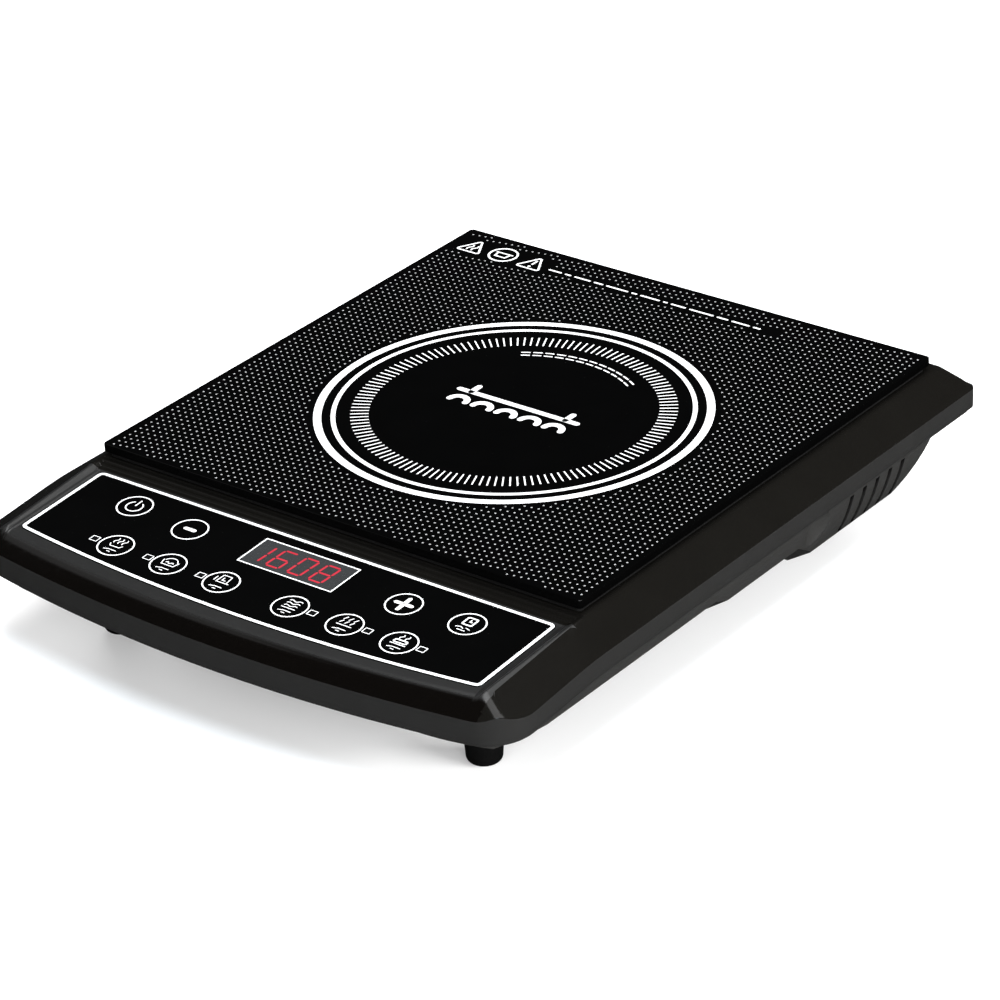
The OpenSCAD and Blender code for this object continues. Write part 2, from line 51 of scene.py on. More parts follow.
# The upper shell: its deck, flanks, shoulders, skirt and roll-off
DECK_Z, SKIRT_Z, SKIRT_H, ROLL_Z = 61.7, 52.2, 9.2, 48.4
FLANK_X, FRONT_FALL, FRONT_RISE, FRONT_START_Y, SKIRT_BREAK_Y = 126.0, 0.088, 0.556, -92.0, -108.0
REAR_RIM_Y = 170.0
# The glass plate and the middle of its ring
GLASS_TOP, GLASS_T, GLASS_W, GLASS_D, GLASS_Y, GLASS_R = 68.0, 4.0, 250.0, 260.0, 34.5, 2.0
ZONE = (3.0, 25.0)
# The control panel's frame, and what lies on it in that frame
TILT = math.radians(3.2)
PANEL_Y, PANEL_Z, FILM_T = -103.0, 58.9, 0.4
FILM_HALF, FILM_DEPTH, FILM_BOW, FILM_CORNER = 119.4, 52.0, 850.0, 3.0
KEY_R = 8.4
KEYS = {"power": (-88, -15), "minus": (-55.5, -17.8), "plus": (57, -18.8), "timer": (88, -17.8),
        "mode_1": (-74, -43.3), "mode_2": (-45.5, -43.5), "mode_3": (-17.5, -43.3),
        "mode_4": (18.5, -43.5), "mode_5": (46, -43), "mode_6": (73, -42.5)}
LEDS = [(-85.3, -43.3), (-56.2, -43.5), (-28.3, -43.3), (29.4, -42.8), (56.8, -42), (83.7, -41.8)]
LED_W, LED_D = 4.0, 3.6
WINDOW, WINDOW_W, WINDOW_D = (1.4, -16.8), 48.4, 19.2


# -------- materials
GRAIN = 1500.0  # gloss variation, in features a metre
RELIEF_DEPTH = 0.0002  # metres
SLOT_REACH = 0.004  # metres over which a slot's walls shade it
# the colour of the painted shade in slots and joints
PAINTED_SLOT_SHADE = (0.0006, 0.0006, 0.0006, 1)
# Where the panel's bed turns into the roll-off and its painted shade, in millimetres in from the front bow
LIP_START, LIP_END = 8.0, 6.2

# A Mix node's factor, and its sockets for each kind of value: A, B and the result
MIX_FACTOR = 0
MIX_SOCKETS = {"FLOAT": (2, 3, 0), "RGBA": (6, 7, 2)}


def nodes_of(mat):
    """A material's nodes, links and main shader."""
    mat.use_nodes = True
    return mat.node_tree.nodes, mat.node_tree.links, mat.node_tree.nodes["Principled BSDF"]


def noise(tree, scale, detail):
    """Noise over the object's own coordinates. scale is in features a metre."""
    coord = tree.nodes.new("ShaderNodeTexCoord")
    tex = tree.nodes.new("ShaderNodeTexNoise")
    tex.inputs["Scale"].default_value = scale
    tex.inputs["Detail"].default_value = detail
    tree.links.new(coord.outputs["Object"], tex.inputs["Vector"])
    return tex.outputs["Fac"]


def ramp(tree, fac, low, high, start=0.3, end=0.7):
    """Maps the stretch of fac from start to end onto two values, or onto two colours."""
    if isinstance(low, (int, float)):
        node = tree.nodes.new("ShaderNodeMapRange")
        for name, value in (("From Min", start), ("From Max", end), ("To Min", low), ("To Max", high)):
            node.inputs[name].default_value = value
        tree.links.new(fac, node.inputs["Value"])
        return node.outputs["Result"]
    node = tree.nodes.new("ShaderNodeValToRGB")
    node.color_ramp.elements[0].position, node.color_ramp.elements[1].position = start, end
    node.color_ramp.elements[0].color = (*low, 1)
    node.color_ramp.elements[1].color = (*high, 1)
    tree.links.new(fac, node.inputs["Fac"])
    return node.outputs["Color"]


def mix(tree, kind, factor):
    """A Mix node for one kind of value: its A and B inputs and its result."""
    node = tree.nodes.new("ShaderNodeMix")
    node.data_type = kind
    a, b, result = MIX_SOCKETS[kind]
    tree.links.new(factor, node.inputs[MIX_FACTOR])
    return node.inputs[a], node.inputs[b], node.outputs[result]


def material(name, colour, rough, vary=0.1, rough_vary=0.05, bump=0.0, bump_scale=4000.0, metallic=0.0,
             specular=0.5, emission=None, strength=0.0, blotch=60.0, transmission=0.0, round_r=0.0):
    """A surface with slow colour variation, finer gloss variation and a fine relief."""
    mat = bpy.data.materials.new(name)
    nodes, links, shader = nodes_of(mat)
    tree = mat.node_tree
    darker = tuple(max(0.0, c * (1 - vary)) for c in colour)
    paler = tuple(min(1.0, c * (1 + vary)) for c in colour)
    links.new(ramp(tree, noise(tree, blotch, detail=5), darker, paler), shader.inputs["Base Color"])
    glossier, duller = max(0.02, rough - rough_vary), min(1.0, rough + rough_vary)
    links.new(ramp(tree, noise(tree, GRAIN, detail=2), glossier, duller), shader.inputs["Roughness"])
    shader.inputs["Metallic"].default_value = metallic
    shader.inputs["Specular IOR Level"].default_value = specular
    shader.inputs["Transmission Weight"].default_value = transmission
    if emission:
        shader.inputs["Emission Color"].default_value = (*emission, 1)
        shader.inputs["Emission Strength"].default_value = strength
    normal = None
    if round_r:
        edge = nodes.new("ShaderNodeBevel")
        edge.samples = 6
        edge.inputs["Radius"].default_value = round_r
        normal = edge.outputs["Normal"]
    if bump:
        relief = nodes.new("ShaderNodeBump")
        relief.inputs["Strength"].default_value = bump
        relief.inputs["Distance"].default_value = RELIEF_DEPTH
        links.new(noise(tree, bump_scale, detail=2), relief.inputs["Height"])
        if normal:
            links.new(normal, relief.inputs["Normal"])
        normal = relief.outputs["Normal"]
    if normal:
        links.new(normal, shader.inputs["Normal"])
    return mat


def paint_slot_shade(mat, reach):
    """Paints shade into the base colour: narrow slots and joints fall off to black by occlusion, as they do
    where no light gets in.
    """
    nodes, links, shader = nodes_of(mat)
    base = shader.inputs["Base Color"]
    colour = base.links[0].from_socket
    occlusion = nodes.new("ShaderNodeAmbientOcclusion")
    occlusion.samples = 8
    occlusion.inputs["Distance"].default_value = reach
    openness = ramp(mat.node_tree, occlusion.outputs["AO"], 0.0, 1.0, start=0.45, end=0.85)
    in_slot, in_open, result = mix(mat.node_tree, "RGBA", openness)
    in_slot.default_value = PAINTED_SLOT_SHADE
    links.new(colour, in_open)
    links.new(result, base)


def fade_to_painted_lip_shade(mat, colour, rough):
    """Turns the panel bed's paler satin into a glossy black along the front bow, where the roll-off begins:
    the black is painted shade, the gloss a lower roughness.
    """
    nodes, links, shader = nodes_of(mat)
    tree = mat.node_tree
    coord = nodes.new("ShaderNodeTexCoord")
    # The plan's distance from the middle of the front bow
    flat = nodes.new("ShaderNodeVectorMath")
    flat.operation = "MULTIPLY_ADD"
    flat.inputs[1].default_value = (1, 1, 0)
    flat.inputs[2].default_value = (0, -(FRONT_Y + BOW_R) * MM, 0)
    links.new(coord.outputs["Object"], flat.inputs[0])
    radius = nodes.new("ShaderNodeVectorMath")
    radius.operation = "LENGTH"
    links.new(flat.outputs["Vector"], radius.inputs[0])
    start, end = (BOW_R - LIP_START) * MM, (BOW_R - LIP_END) * MM
    factor = ramp(tree, radius.outputs["Value"], 0.0, 1.0, start=start, end=end)
    for name, kind, at_lip in (("Base Color", "RGBA", (*colour, 1)), ("Roughness", "FLOAT", rough)):
        socket = shader.inputs[name]
        on_bed = socket.links[0].from_socket
        bed, lip, result = mix(tree, kind, factor)
        links.new(on_bed, bed)
        lip.default_value = at_lip
        links.new(result, socket)


M = {
    "black_glass": material("glass_ceramic", (0.0007, 0.0007, 0.0007), 0.05, rough_vary=0.02, bump=0.01,
                            bump_scale=900, specular=0.14),
    "body_plastic": material("body_plastic", (0.0038, 0.0035, 0.0030), 0.15, vary=0.05, rough_vary=0.03,
                             bump=0.03, bump_scale=5200, specular=0.11),
    # The bed and the skirt are paler copies of the shell's plastic: painted light
    "recess_painted_light_and_shade": material("recess_painted_light_and_shade", (0.0125, 0.0124, 0.0122), 0.36, vary=0.05, rough_vary=0.03,
                               bump=0.04, bump_scale=5200, specular=0.25),
    "skirt_painted_light": material("skirt_painted_light", (0.0112, 0.0110, 0.0106), 0.38, vary=0.04, rough_vary=0.03,
                              bump=0.05, bump_scale=5200, specular=0.25),
    "lower_plastic": material("lower_plastic", (0.0170, 0.0167, 0.0160), 0.45, vary=0.05, rough_vary=0.03,
                              bump=0.06, bump_scale=5200, specular=0.25, round_r=0.0006),
    "glass_side": material("glass_side", (0.0006, 0.0006, 0.0006), 0.55, rough_vary=0.03, bump=0.02,
                           specular=0.03),
    "control_film": material("control_film", (0.0009, 0.0009, 0.0009), 0.14, rough_vary=0.03, bump=0.015,
                             bump_scale=2600, specular=0.14),
    "white_print": material("white_print", (0.76, 0.76, 0.76), 0.5, vary=0.03, blotch=400, specular=0.3),
    "grey_print": material("dot_print", (0.32, 0.32, 0.32), 0.5, vary=0.06, blotch=900, specular=0.3),
    "smoked_lens": material("smoked_lens", (0.026, 0.027, 0.028), 0.24, rough_vary=0.04, vary=0.12, blotch=30,
                            bump=0.01, specular=0.4),
    "led_lens": material("led_lens", (0.0035, 0.0035, 0.0036), 0.2, rough_vary=0.04, bump=0.01, specular=0.2),
    "digit": material("digit_glow", (0.25, 0.01, 0.02), 0.4, emission=(0.55, 0.012, 0.03), strength=0.42),
    "seal_rubber": material("seal_rubber", (0.006, 0.006, 0.006), 0.7, bump=0.2, specular=0.25),
    "foot_rubber": material("foot_rubber", (0.0025, 0.0025, 0.0025), 0.55, bump=0.25, bump_scale=6000,
                            specular=0.05),
    "gland_rubber": material("gland_rubber", (0.009, 0.009, 0.009), 0.6, bump=0.25, specular=0.35),
    "white_plastic": material("white_plastic", (0.75, 0.75, 0.72), 0.4, bump=0.05),
    "switch_steel": material("switch_steel", (0.6, 0.6, 0.6), 0.3, metallic=1.0, bump=0.05),
    "component_black": material("component_black", (0.02, 0.02, 0.02), 0.5, bump=0.15),
    "led_red": material("led_red", (0.4, 0.02, 0.02), 0.15),
    "board_green": material("board_green", (0.02, 0.13, 0.05), 0.3, vary=0.25, blotch=220, bump=0.15,
                            bump_scale=900),
    "ribbon_grey": material("ribbon_grey", (0.4, 0.4, 0.4), 0.5, bump=0.2, bump_scale=1200),
    "screw_steel": material("screw_steel", (0.55, 0.55, 0.54), 0.28, metallic=1.0, bump=0.05),
    "copper_wire": material("copper_wire", (0.42, 0.13, 0.05), 0.3, metallic=0.8, vary=0.2, blotch=500,
                            bump=0.3, bump_scale=1500),
    "carrier_resin": material("carrier_resin", (0.6, 0.58, 0.5), 0.6, bump=0.1),
    "ferrite": material("ferrite", (0.03, 0.03, 0.035), 0.55, bump=0.3, bump_scale=3000),
    "mica": material("mica", (0.5, 0.46, 0.36), 0.45, vary=0.3, blotch=160, bump=0.15, bump_scale=700),
    "white_silicone": material("white_silicone", (0.75, 0.75, 0.7), 0.5),
    "white_ceramic": material("white_ceramic", (0.8, 0.8, 0.78), 0.3),
    "terminal_brass": material("terminal_brass", (0.65, 0.45, 0.15), 0.3, metallic=1.0),
    "heatsink_aluminium": material("heatsink_aluminium", (0.75, 0.75, 0.75), 0.35, metallic=1.0, bump=0.1,
                                   bump_scale=1200),
    "capacitor_yellow": material("capacitor_yellow", (0.65, 0.42, 0.03), 0.35, bump=0.05),
    "capacitor_red": material("capacitor_red", (0.4, 0.04, 0.02), 0.3, bump=0.05),
    "tape_yellow": material("tape_yellow", (0.6, 0.48, 0.05), 0.3, bump=0.1),
    "capacitor_blue": material("capacitor_blue", (0.02, 0.04, 0.14), 0.25),
    "fuse_glass": material("fuse_glass", (0.7, 0.72, 0.72), 0.1, transmission=0.6),
    "fan_plastic": material("fan_plastic", (0.012, 0.012, 0.012), 0.4, bump=0.08),
}
# Painted shade: the roll-off darkens to near-black along the front bow
fade_to_painted_lip_shade(M["recess_painted_light_and_shade"], (0.0016, 0.0013, 0.0011), 0.13)
# Painted shade: the bottom shell's slots and joints darken to black by occlusion
paint_slot_shade(M["lower_plastic"], SLOT_REACH)

# These two look unlike the other nodes of their slot
OWN_LOOK = {"bottom_shell": "lower_plastic", "led_lenses": "led_lens"}
for part in frame["record"]["subparts"]:
    look = M[OWN_LOOK.get(part["node"], part["material_slot"])]
    for material_slot in frame["nodes"][part["node"]].material_slots:
        material_slot.material = look


# -------- mesh helpers
def add_mesh(name, verts_mm, faces, mat, body="housing", smooth_deg=30.0):
    """A new piece from points in millimetres. Edges sharper than smooth_deg stay sharp."""
    mesh = bpy.data.meshes.new(name)
    verts = [tuple(float(c) * MM for c in v) for v in verts_mm]
    mesh.from_pydata(verts, [], [tuple(int(i) for i in f) for f in faces])
    mesh.validate()
    mesh.update()
    obj = bpy.data.objects.new(name, mesh)
    bpy.context.scene.collection.objects.link(obj)
    mesh.materials.append(mat)
    mesh.shade_smooth()
    mesh.set_sharp_from_angle(angle=math.radians(smooth_deg))
    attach(obj, body)
    return obj


def on_panel(x, y, z):
    """A point of the control panel's own frame, in the row frame."""
    c, s = math.cos(TILT), math.sin(TILT)
    return (x, PANEL_Y + y * c - z * s, PANEL_Z + y * s + z * c)


def on_glass(x, y, z):
    """A point of the glass, which is level and needs no turning."""
    return (x, y, z)


class Print:
    """Flat printed marks: closed solids a few hundredths of a millimetre high."""

    def __init__(self, place, low, high):
        self.place, self.low, self.high = place, low, high
        self.verts, self.faces = [], []

    def loops(self, rings):
        """Closed loops of plane points. One is a filled shape; two, an outer and an inner, are a band."""
        base = len(self.verts)
        n = len(rings[0])
        for ring in rings:
            self.verts += [self.place(x, y, self.low) for x, y in ring]
            self.verts += [self.place(x, y, self.high) for x, y in ring]
        if len(rings) == 1:
            self.faces.append([base + i for i in reversed(range(n))])
            self.faces.append([base + n + i for i in range(n)])
            for i in range(n):
                j = (i + 1) % n
                self.faces.append([base + i, base + j, base + n + j, base + n + i])
            return
        o0, o1, i0, i1 = base, base + n, base + 2 * n, base + 3 * n
        for i in range(n):
            j = (i + 1) % n
            self.faces.append([o0 + i, o0 + j, o1 + j, o1 + i])
            self.faces.append([i0 + j, i0 + i, i1 + i, i1 + j])
            self.faces.append([o1 + i, o1 + j, i1 + j, i1 + i])
            self.faces.append([o0 + j, o0 + i, i0 + i, i0 + j])

    def stroke(self, points, width):
        """An open line of even width with round ends."""
        p = np.array(points, float)
        r = width / 2
        d = np.diff(p, axis=0)
        d /= np.linalg.norm(d, axis=1)[:, None]
        t = np.vstack([d[:1], (d[:-1] + d[1:]), d[-1:]])
        t /= np.linalg.norm(t, axis=1)[:, None]
        side = np.stack([-t[:, 1], t[:, 0]], 1)
        mitre = np.ones(len(p))
        mitre[1:-1] = 1 / np.clip((t[1:-1] * d[:-1]).sum(1), 0.5, 1)
        left = p + side * (r * mitre)[:, None]
        right = p - side * (r * mitre)[:, None]

        def cap(c, a0):
            turns = [a0 - math.radians(a) for a in (30, 60, 90, 120, 150)]
            return [(c[0] + r * math.cos(a), c[1] + r * math.sin(a)) for a in turns]

        end = math.atan2(side[-1][1], side[-1][0])
        start = math.atan2(-side[0][1], -side[0][0])
        self.strip(left, right, cap(p[-1], end), cap(p[0], start))

    def strip(self, left, right, end, start):
        """The stroke's body as quads, with a fan at either end, so that bent lines stay clean."""
        base = len(self.verts)
        n = len(left)
        flat = [tuple(q) for q in left] + [tuple(q) for q in right] + list(end) + list(start)
        k = len(flat)
        self.verts += [self.place(x, y, self.low) for x, y in flat]
        self.verts += [self.place(x, y, self.high) for x, y in flat]
        tops = [[n + i, n + i + 1, i + 1, i] for i in range(n - 1)]
        tops.append([2 * n - 1] + [2 * n + j for j in reversed(range(len(end)))] + [n - 1])
        tops.append([0] + [2 * n + len(end) + j for j in reversed(range(len(start)))] + [n])
        for f in tops:
            self.faces.append([base + k + i for i in f])
            self.faces.append([base + i for i in reversed(f)])
        ring = list(range(n)) + [2 * n + j for j in range(len(end))]
        ring += [2 * n - 1 - i for i in range(n)] + [2 * n + len(end) + j for j in range(len(start))]
        for a, b in zip(ring, ring[1:] + ring[:1]):
            self.faces.append([base + b, base + a, base + k + a, base + k + b])

    def finish(self, name, mat, body):
        """Makes one piece of all the marks so far."""
        return add_mesh(name, self.verts, self.faces, mat, body)


def circle(cx, cy, r, n=64):
    """A circle as a closed loop of n points."""
    turns = [2 * math.pi * i / n for i in range(n)]
    return [(cx + r * math.cos(a), cy + r * math.sin(a)) for a in turns]


def arc(cx, cy, r, a0, a1, n=16):
    """An arc from one angle to another, in degrees, as n + 1 points."""
    turns = [math.radians(a0 + (a1 - a0) * i / n) for i in range(n + 1)]
    return [(cx + r * math.cos(a), cy + r * math.sin(a)) for a in turns]


def rect_loop(cx, cy, w, d, r, n=4):
    """A rounded rectangle's outline, anticlockwise."""
    out = []
    for sx, sy, a in ((1, -1, -90), (1, 1, 0), (-1, 1, 90), (-1, -1, 180)):
        out += arc(cx + sx * (w / 2 - r), cy + sy * (d / 2 - r), r, a, a + 90, n)
    return out


def wave(x0, y0, x1, y1, amp, turns=1.0, n=14):
    """A wavy line from one point to another."""
    dx, dy = x1 - x0, y1 - y0
    length = math.hypot(dx, dy)
    out = []
    for i in range(n + 1):
        t = i / n
        s = amp * math.sin(2 * math.pi * turns * t)
        out.append((x0 + dx * t - dy / length * s, y0 + dy * t + dx / length * s))
    return out


# -------- the glass plate
PRINT_ROOM = 0.03  # the polished face lies this much low, so that its print stays within the plate's height
TOP_ROUND, BOTTOM_ROUND = 0.5, 0.6
POLISHED_Z = 0.6  # a face whose normal rises more than this belongs to the polished face


def glass_plate():
    """A flat plate with softly rounded edges."""
    top, bottom = GLASS_TOP - PRINT_ROOM, GLASS_TOP - GLASS_T
    # Insets from the plate's outline, and heights, from the underside up
    rows = []
    for deg in (0, 30, 60, 90):
        a = math.radians(deg)
        rows.append((BOTTOM_ROUND * (1 - math.sin(a)), bottom + BOTTOM_ROUND * (1 - math.cos(a))))
    rows += [(0.0, bottom + 1.5), (0.0, top - TOP_ROUND - 0.3)]
    for deg in (0, 15, 30, 45, 60, 75, 90):
        a = math.radians(deg)
        rows.append((TOP_ROUND * (1 - math.cos(a)), top - TOP_ROUND + TOP_ROUND * math.sin(a)))
    rows += [(1.0, top), (1.9, top)]
    verts, n = [], 0
    for inset, z in rows:
        loop = rect_loop(0, GLASS_Y, GLASS_W - 2 * inset, GLASS_D - 2 * inset, GLASS_R - inset + 0.01, 10)
        n = len(loop)
        verts += [(x, y, z) for x, y in loop]
    faces = []
    for k in range(len(rows) - 1):
        for i in range(n):
            j = (i + 1) % n
            faces.append([k * n + i, k * n + j, (k + 1) * n + j, (k + 1) * n + i])
    faces.append([(len(rows) - 1) * n + i for i in range(n)])
    faces.append([i for i in reversed(range(n))])
    plate = add_mesh("glass_with_rounded_edge", verts, faces, M["black_glass"],
                     smooth_deg=40)
    # The ground edge of the plate is dull, and only its face is polished
    plate.data.materials.append(M["glass_side"])
    for face in plate.data.polygons:
        face.material_index = 0 if face.normal.z > POLISHED_Z else 1
    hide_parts("glass_plate")


glass_plate()

# -------- print on the glass
GLASS_LOW, GLASS_HIGH = GLASS_TOP - 0.04, GLASS_TOP - 0.005
# The dots stand in columns, and each column starts a little further along than the one before
DOT_R, DOT_SIDES, DOT_PITCH_X, DOT_PITCH_Y, DOT_SHIFT = 0.44, 10, 3.145, 3.46, 0.577
DOT_LEFT, DOT_RIGHT, DOT_NEAR, DOT_FAR = -120.2, 122.6, -93.4, 161.2
DOT_FREE_R = 88.2
# The corner signs and the broken rule beside them, with the room that the dots leave them
ICON_Y, ICON_ROOM, ICON_END_X = 148.7, 8.6, -68
RULE_Y, RULE_ROOM, RULE_END_X = 147.2, 3.4, 57.5
RING_RADII = ((85.9, 82.4), (78.4, 76.4))
TICKS, TICK_HALF, TICK_IN, TICK_OUT = 138, 0.31, 62.2, 70.1


def dots():
    """A field of printed dots with clear ground around the ring, the signs and the rule."""
    verts, faces, k = [], [], DOT_SIDES
    ring = [(math.cos(2 * math.pi * i / k), math.sin(2 * math.pi * i / k)) for i in range(k)]
    column = 0
    x = DOT_LEFT
    while x <= DOT_RIGHT:
        y = DOT_NEAR + (column * DOT_SHIFT) % DOT_PITCH_Y
        while y <= DOT_FAR:
            clear = math.hypot(x - ZONE[0], y - ZONE[1]) > DOT_FREE_R
            clear = clear and not (abs(y - ICON_Y) < ICON_ROOM and x < ICON_END_X)
            clear = clear and not (abs(y - RULE_Y) < RULE_ROOM and x < RULE_END_X)
            if clear:
                b = len(verts)
                verts += [(x + DOT_R * c, y + DOT_R * s, GLASS_LOW) for c, s in ring]
                verts += [(x + DOT_R * c, y + DOT_R * s, GLASS_HIGH) for c, s in ring]
                faces.append([b + i for i in reversed(range(k))])
                faces.append([b + k + i for i in range(k)])
                faces += [[b + i, b + (i + 1) % k, b + k + (i + 1) % k, b + k + i] for i in range(k)]
            y += DOT_PITCH_Y
        x += DOT_PITCH_X
        column += 1
    add_mesh("print_dots", verts, faces, M["grey_print"], smooth_deg=60)


def zone_print():
    """The two rings around the cooking zone, and the ring of ticks inside them."""
    p = Print(on_glass, GLASS_LOW, GLASS_HIGH)
    cx, cy = ZONE
    for outer, inner in RING_RADII:
        p.loops([circle(cx, cy, outer, 256), circle(cx, cy, inner, 256)])
    p.finish("print_rings", M["white_print"], "housing")
    p = Print(on_glass, GLASS_LOW, GLASS_HIGH)
    for i in range(TICKS):
        a = 2 * math.pi * i / TICKS
        c, s = math.cos(a), math.sin(a)
        corners = ((TICK_IN, TICK_HALF), (TICK_OUT, TICK_HALF), (TICK_OUT, -TICK_HALF), (TICK_IN, -TICK_HALF))
        p.loops([[(cx + r * c + h * s, cy + r * s - h * c) for r, h in corners]])
    p.finish("print_ticks", M["white_print"], "housing")


def centre_mark():
    """A pan over five coil arches, in place of lettering, and two dashed arcs above it."""
    p = Print(on_glass, GLASS_LOW, GLASS_HIGH)
    cx, cy, bold = 2.5, 26.8, 2.9
    arches, arch_r, arch_pitch = 5, 4.2, 12.6
    for i in range(arches):
        x = cx - 2 * arch_pitch + arch_pitch * i
        p.stroke(arc(x, cy - 8.0, arch_r, 180, 0, 20), bold)
    pan_y, rim_y = cy + 1.6, cy + 7.4
    p.stroke([(cx - 31, pan_y), (cx + 31, pan_y)], bold)
    p.stroke([(cx - 25, pan_y), (cx - 25, rim_y)], bold)
    p.stroke([(cx + 25, pan_y), (cx + 25, rim_y)], bold)
    p.finish("print_coil_symbol", M["white_print"], "housing")
    p = Print(on_glass, GLASS_LOW, GLASS_HIGH)
    dashes, first_deg, dash_deg, pitch_deg = 12, 123.0, 3.6, 5.55
    for r in (52.6, 55.4):
        a = first_deg
        for _ in range(dashes):
            p.stroke(arc(ZONE[0], ZONE[1], r, a, a - dash_deg, 4), 0.8)
            a -= pitch_deg
    p.finish("print_dashed_arc", M["white_print"], "housing")


def triangle(cx, cy, r):
    """A rounded triangle's outline, with a corner away from the panel."""
    points = []
    for dx, dy, start in ((-4.9, -4.6, 150), (4.9, -4.6, -90), (0, 4.6, 30)):
        points += arc(cx + dx, cy + dy, r, start, start + 120, 6)
    return points


def glass_icons():
    """Three plain outlines and a broken rule in the far corner, in place of signs and a line of text."""
    p = Print(on_glass, GLASS_LOW, GLASS_HIGH)
    y = ICON_Y
    steam_x, pan_x, mark_x = -111.7, -95, -77.7
    for cx in (steam_x, mark_x):
        p.loops([triangle(cx, y, 1.4), triangle(cx, y, 0.45)])
    p.loops([circle(pan_x, y, 7.2, 72), circle(pan_x, y, 6.2, 72)])
    for dx in (-1.7, 0.9):
        p.stroke(wave(steam_x + dx, y - 3.6, steam_x + dx + 0.8, y + 1.2, 0.5, 1.0, 12), 0.8)
    p.stroke([(-98.6, y + 0.6), (-98.0, y - 2.4), (-92.6, y - 2.4), (-92.0, y + 0.6)], 0.9)
    p.stroke([(-99.4, y + 1.4), (-90.8, y + 1.4)], 0.9)
    p.stroke([(mark_x, y - 1.0), (mark_x, y + 2.6)], 1.1)
    p.loops([circle(mark_x, y - 3.6, 0.75, 20)])
    # The rule's bars, of uneven length like words
    lengths = (7.2, 3.4, 9.0, 5.0, 12.0, 3.0, 10.5, 2.4, 8.0, 13.0, 6.0, 9.5, 4.0)
    last_x, gap = 55, 1.9
    x = -68.0
    for length in lengths:
        p.stroke([(x + 0.5, RULE_Y), (min(x + length, last_x) - 0.5, RULE_Y)], 1.1)
        x += length + gap
        if x > last_x - 2:
            break
    p.finish("print_corner_icons", M["white_print"], "housing")


dots()
zone_print()
centre_mark()
glass_icons()


# -------- the upper shell, as one smooth skin over its exact form
# Widths over which the edges between its faces are eased
SHOULDER_EASE, DECK_EASE, REAR_EASE, FLOOR_EASE, RIM_EASE, ROLL_EASE = 0.8, 1.0, 1.2, 0.3, 1.1, 2.6
ROLL_SLOPE = 1.03
# The ridges between the glass and the panel, each a step lower than the one behind it
RIDGES, RIDGE_Z, RIDGE_FALL, RIDGE_BACK_Y, RIDGE_STEP, RIDGE_EASE = 3, 61.0, 0.1, -94.5, 2.5, 0.3
# The panel's bed: its half width, its kerb and the wall that climbs from the kerb
BED_HALF, KERB_H, KERB_EASE, BED_WALL_SLOPE = 122.5, 0.4, 0.25, 0.667
FAR_BELOW = -50.0
# The skin: where its face and its inner wall start, in from the outline, and its rounded edges
EDGE_IN, WALL_IN, RIM_ROUND, SKIRT_ROUND = 1.3, 2.5, 0.9, 0.7
CELL, SMALLEST_CELL, CELL_TOL = 12.0, 0.375, 0.02
# Which faces belong to the bed, and how level a face is that isn't the skirt's, for the painted light on each
BED_FACE_Y, BED_FACE_X, LEVEL = -101.9, 126.6, 0.45
LOOKS_UP = 0.2  # faces that look up more than this get exact normals
GLASS_OPENING = (0, 35, 234, 242)  # its middle, width and depth
MERGE_DIST, SLIVER_AREA = 1e-5, 1e-7


def smin(a, b, k):
    """The lower of two heights, eased over a width of k where they cross."""
    h = np.maximum(k - np.abs(a - b), 0.0) / k
    return np.minimum(a, b) - h * h * k * 0.25


def smax(a, b, k):
    """The higher of two heights, eased in the same way."""
    return -smin(-a, -b, k)


def ease(t):
    """A smooth step from 0 to 1."""
    t = np.clip(t, 0, 1)
    return t * t * (3 - 2 * t)


def bed_height(ax, y):
    """Height of the ridges, the panel's bed and the bed's side walls. ax is the distance from the middle."""
    plane = PANEL_Z + (y - PANEL_Y) * math.tan(TILT)
    front_y = RIDGE_BACK_Y - RIDGES * RIDGE_STEP
    drop = (RIDGE_Z - RIDGE_FALL - PANEL_Z - (front_y - PANEL_Y) * math.tan(TILT)) / RIDGES
    floor = RIDGE_Z - RIDGE_FALL * ease((RIDGE_BACK_Y - y) / RIDGE_STEP)
    for i in range(1, RIDGES + 1):
        floor = floor - drop * ease((RIDGE_BACK_Y - i * RIDGE_STEP - y + RIDGE_EASE) / (2 * RIDGE_EASE))
    floor = np.where(y < front_y - 0.35, plane, floor)
    kerb = KERB_H * ease((ax - (BED_HALF - KERB_EASE)) / (2 * KERB_EASE))
    wall = plane + kerb + BED_WALL_SLOPE * np.maximum(ax - BED_HALF, 0)
    return smax(floor, np.where(ax > BED_HALF - 1.0, wall, FAR_BELOW), FLOOR_EASE)


def shell_height(x, y):
    """Height of the upper shell's face over a point of the plan, with each edge eased."""
    ax = np.abs(x)
    flank = SKIRT_Z + (HALF_W - ax) * (DECK_Z - SKIRT_Z) / (HALF_W - FLANK_X)
    shoulder = DECK_Z - FRONT_RISE * (ax - FLANK_X) + FRONT_FALL * (y - FRONT_START_Y)
    rear = SKIRT_Z + (REAR_Y - y) * (DECK_Z - SKIRT_Z) / (REAR_Y - REAR_RIM_Y)
    rho = np.hypot(x, y - (FRONT_Y + BOW_R))
    roll = ROLL_Z + (BOW_R - rho) * ROLL_SLOPE
    side = smin(flank, shoulder, SHOULDER_EASE)
    top = smin(np.full_like(ax, DECK_Z), side, DECK_EASE)
    top = smin(top, rear, REAR_EASE)
    sunk = bed_height(ax, y)
    in_front = ease((RIDGE_BACK_Y - y + 0.25) / 0.5)
    top = top * (1 - in_front) + smin(top, sunk, RIM_EASE) * in_front
    return smin(top, roll, ROLL_EASE)


def steps(start, end, count):
    """Even steps from start, without the end, which belongs to the next stretch."""
    return np.linspace(start, end, count + 1)[:-1]


def corner_points(cx, cy, r, turns):
    """Points round a corner of the plan, with their outward normals."""
    return [(cx + r * math.cos(a), cy + r * math.sin(a), math.cos(a), math.sin(a)) for a in turns]


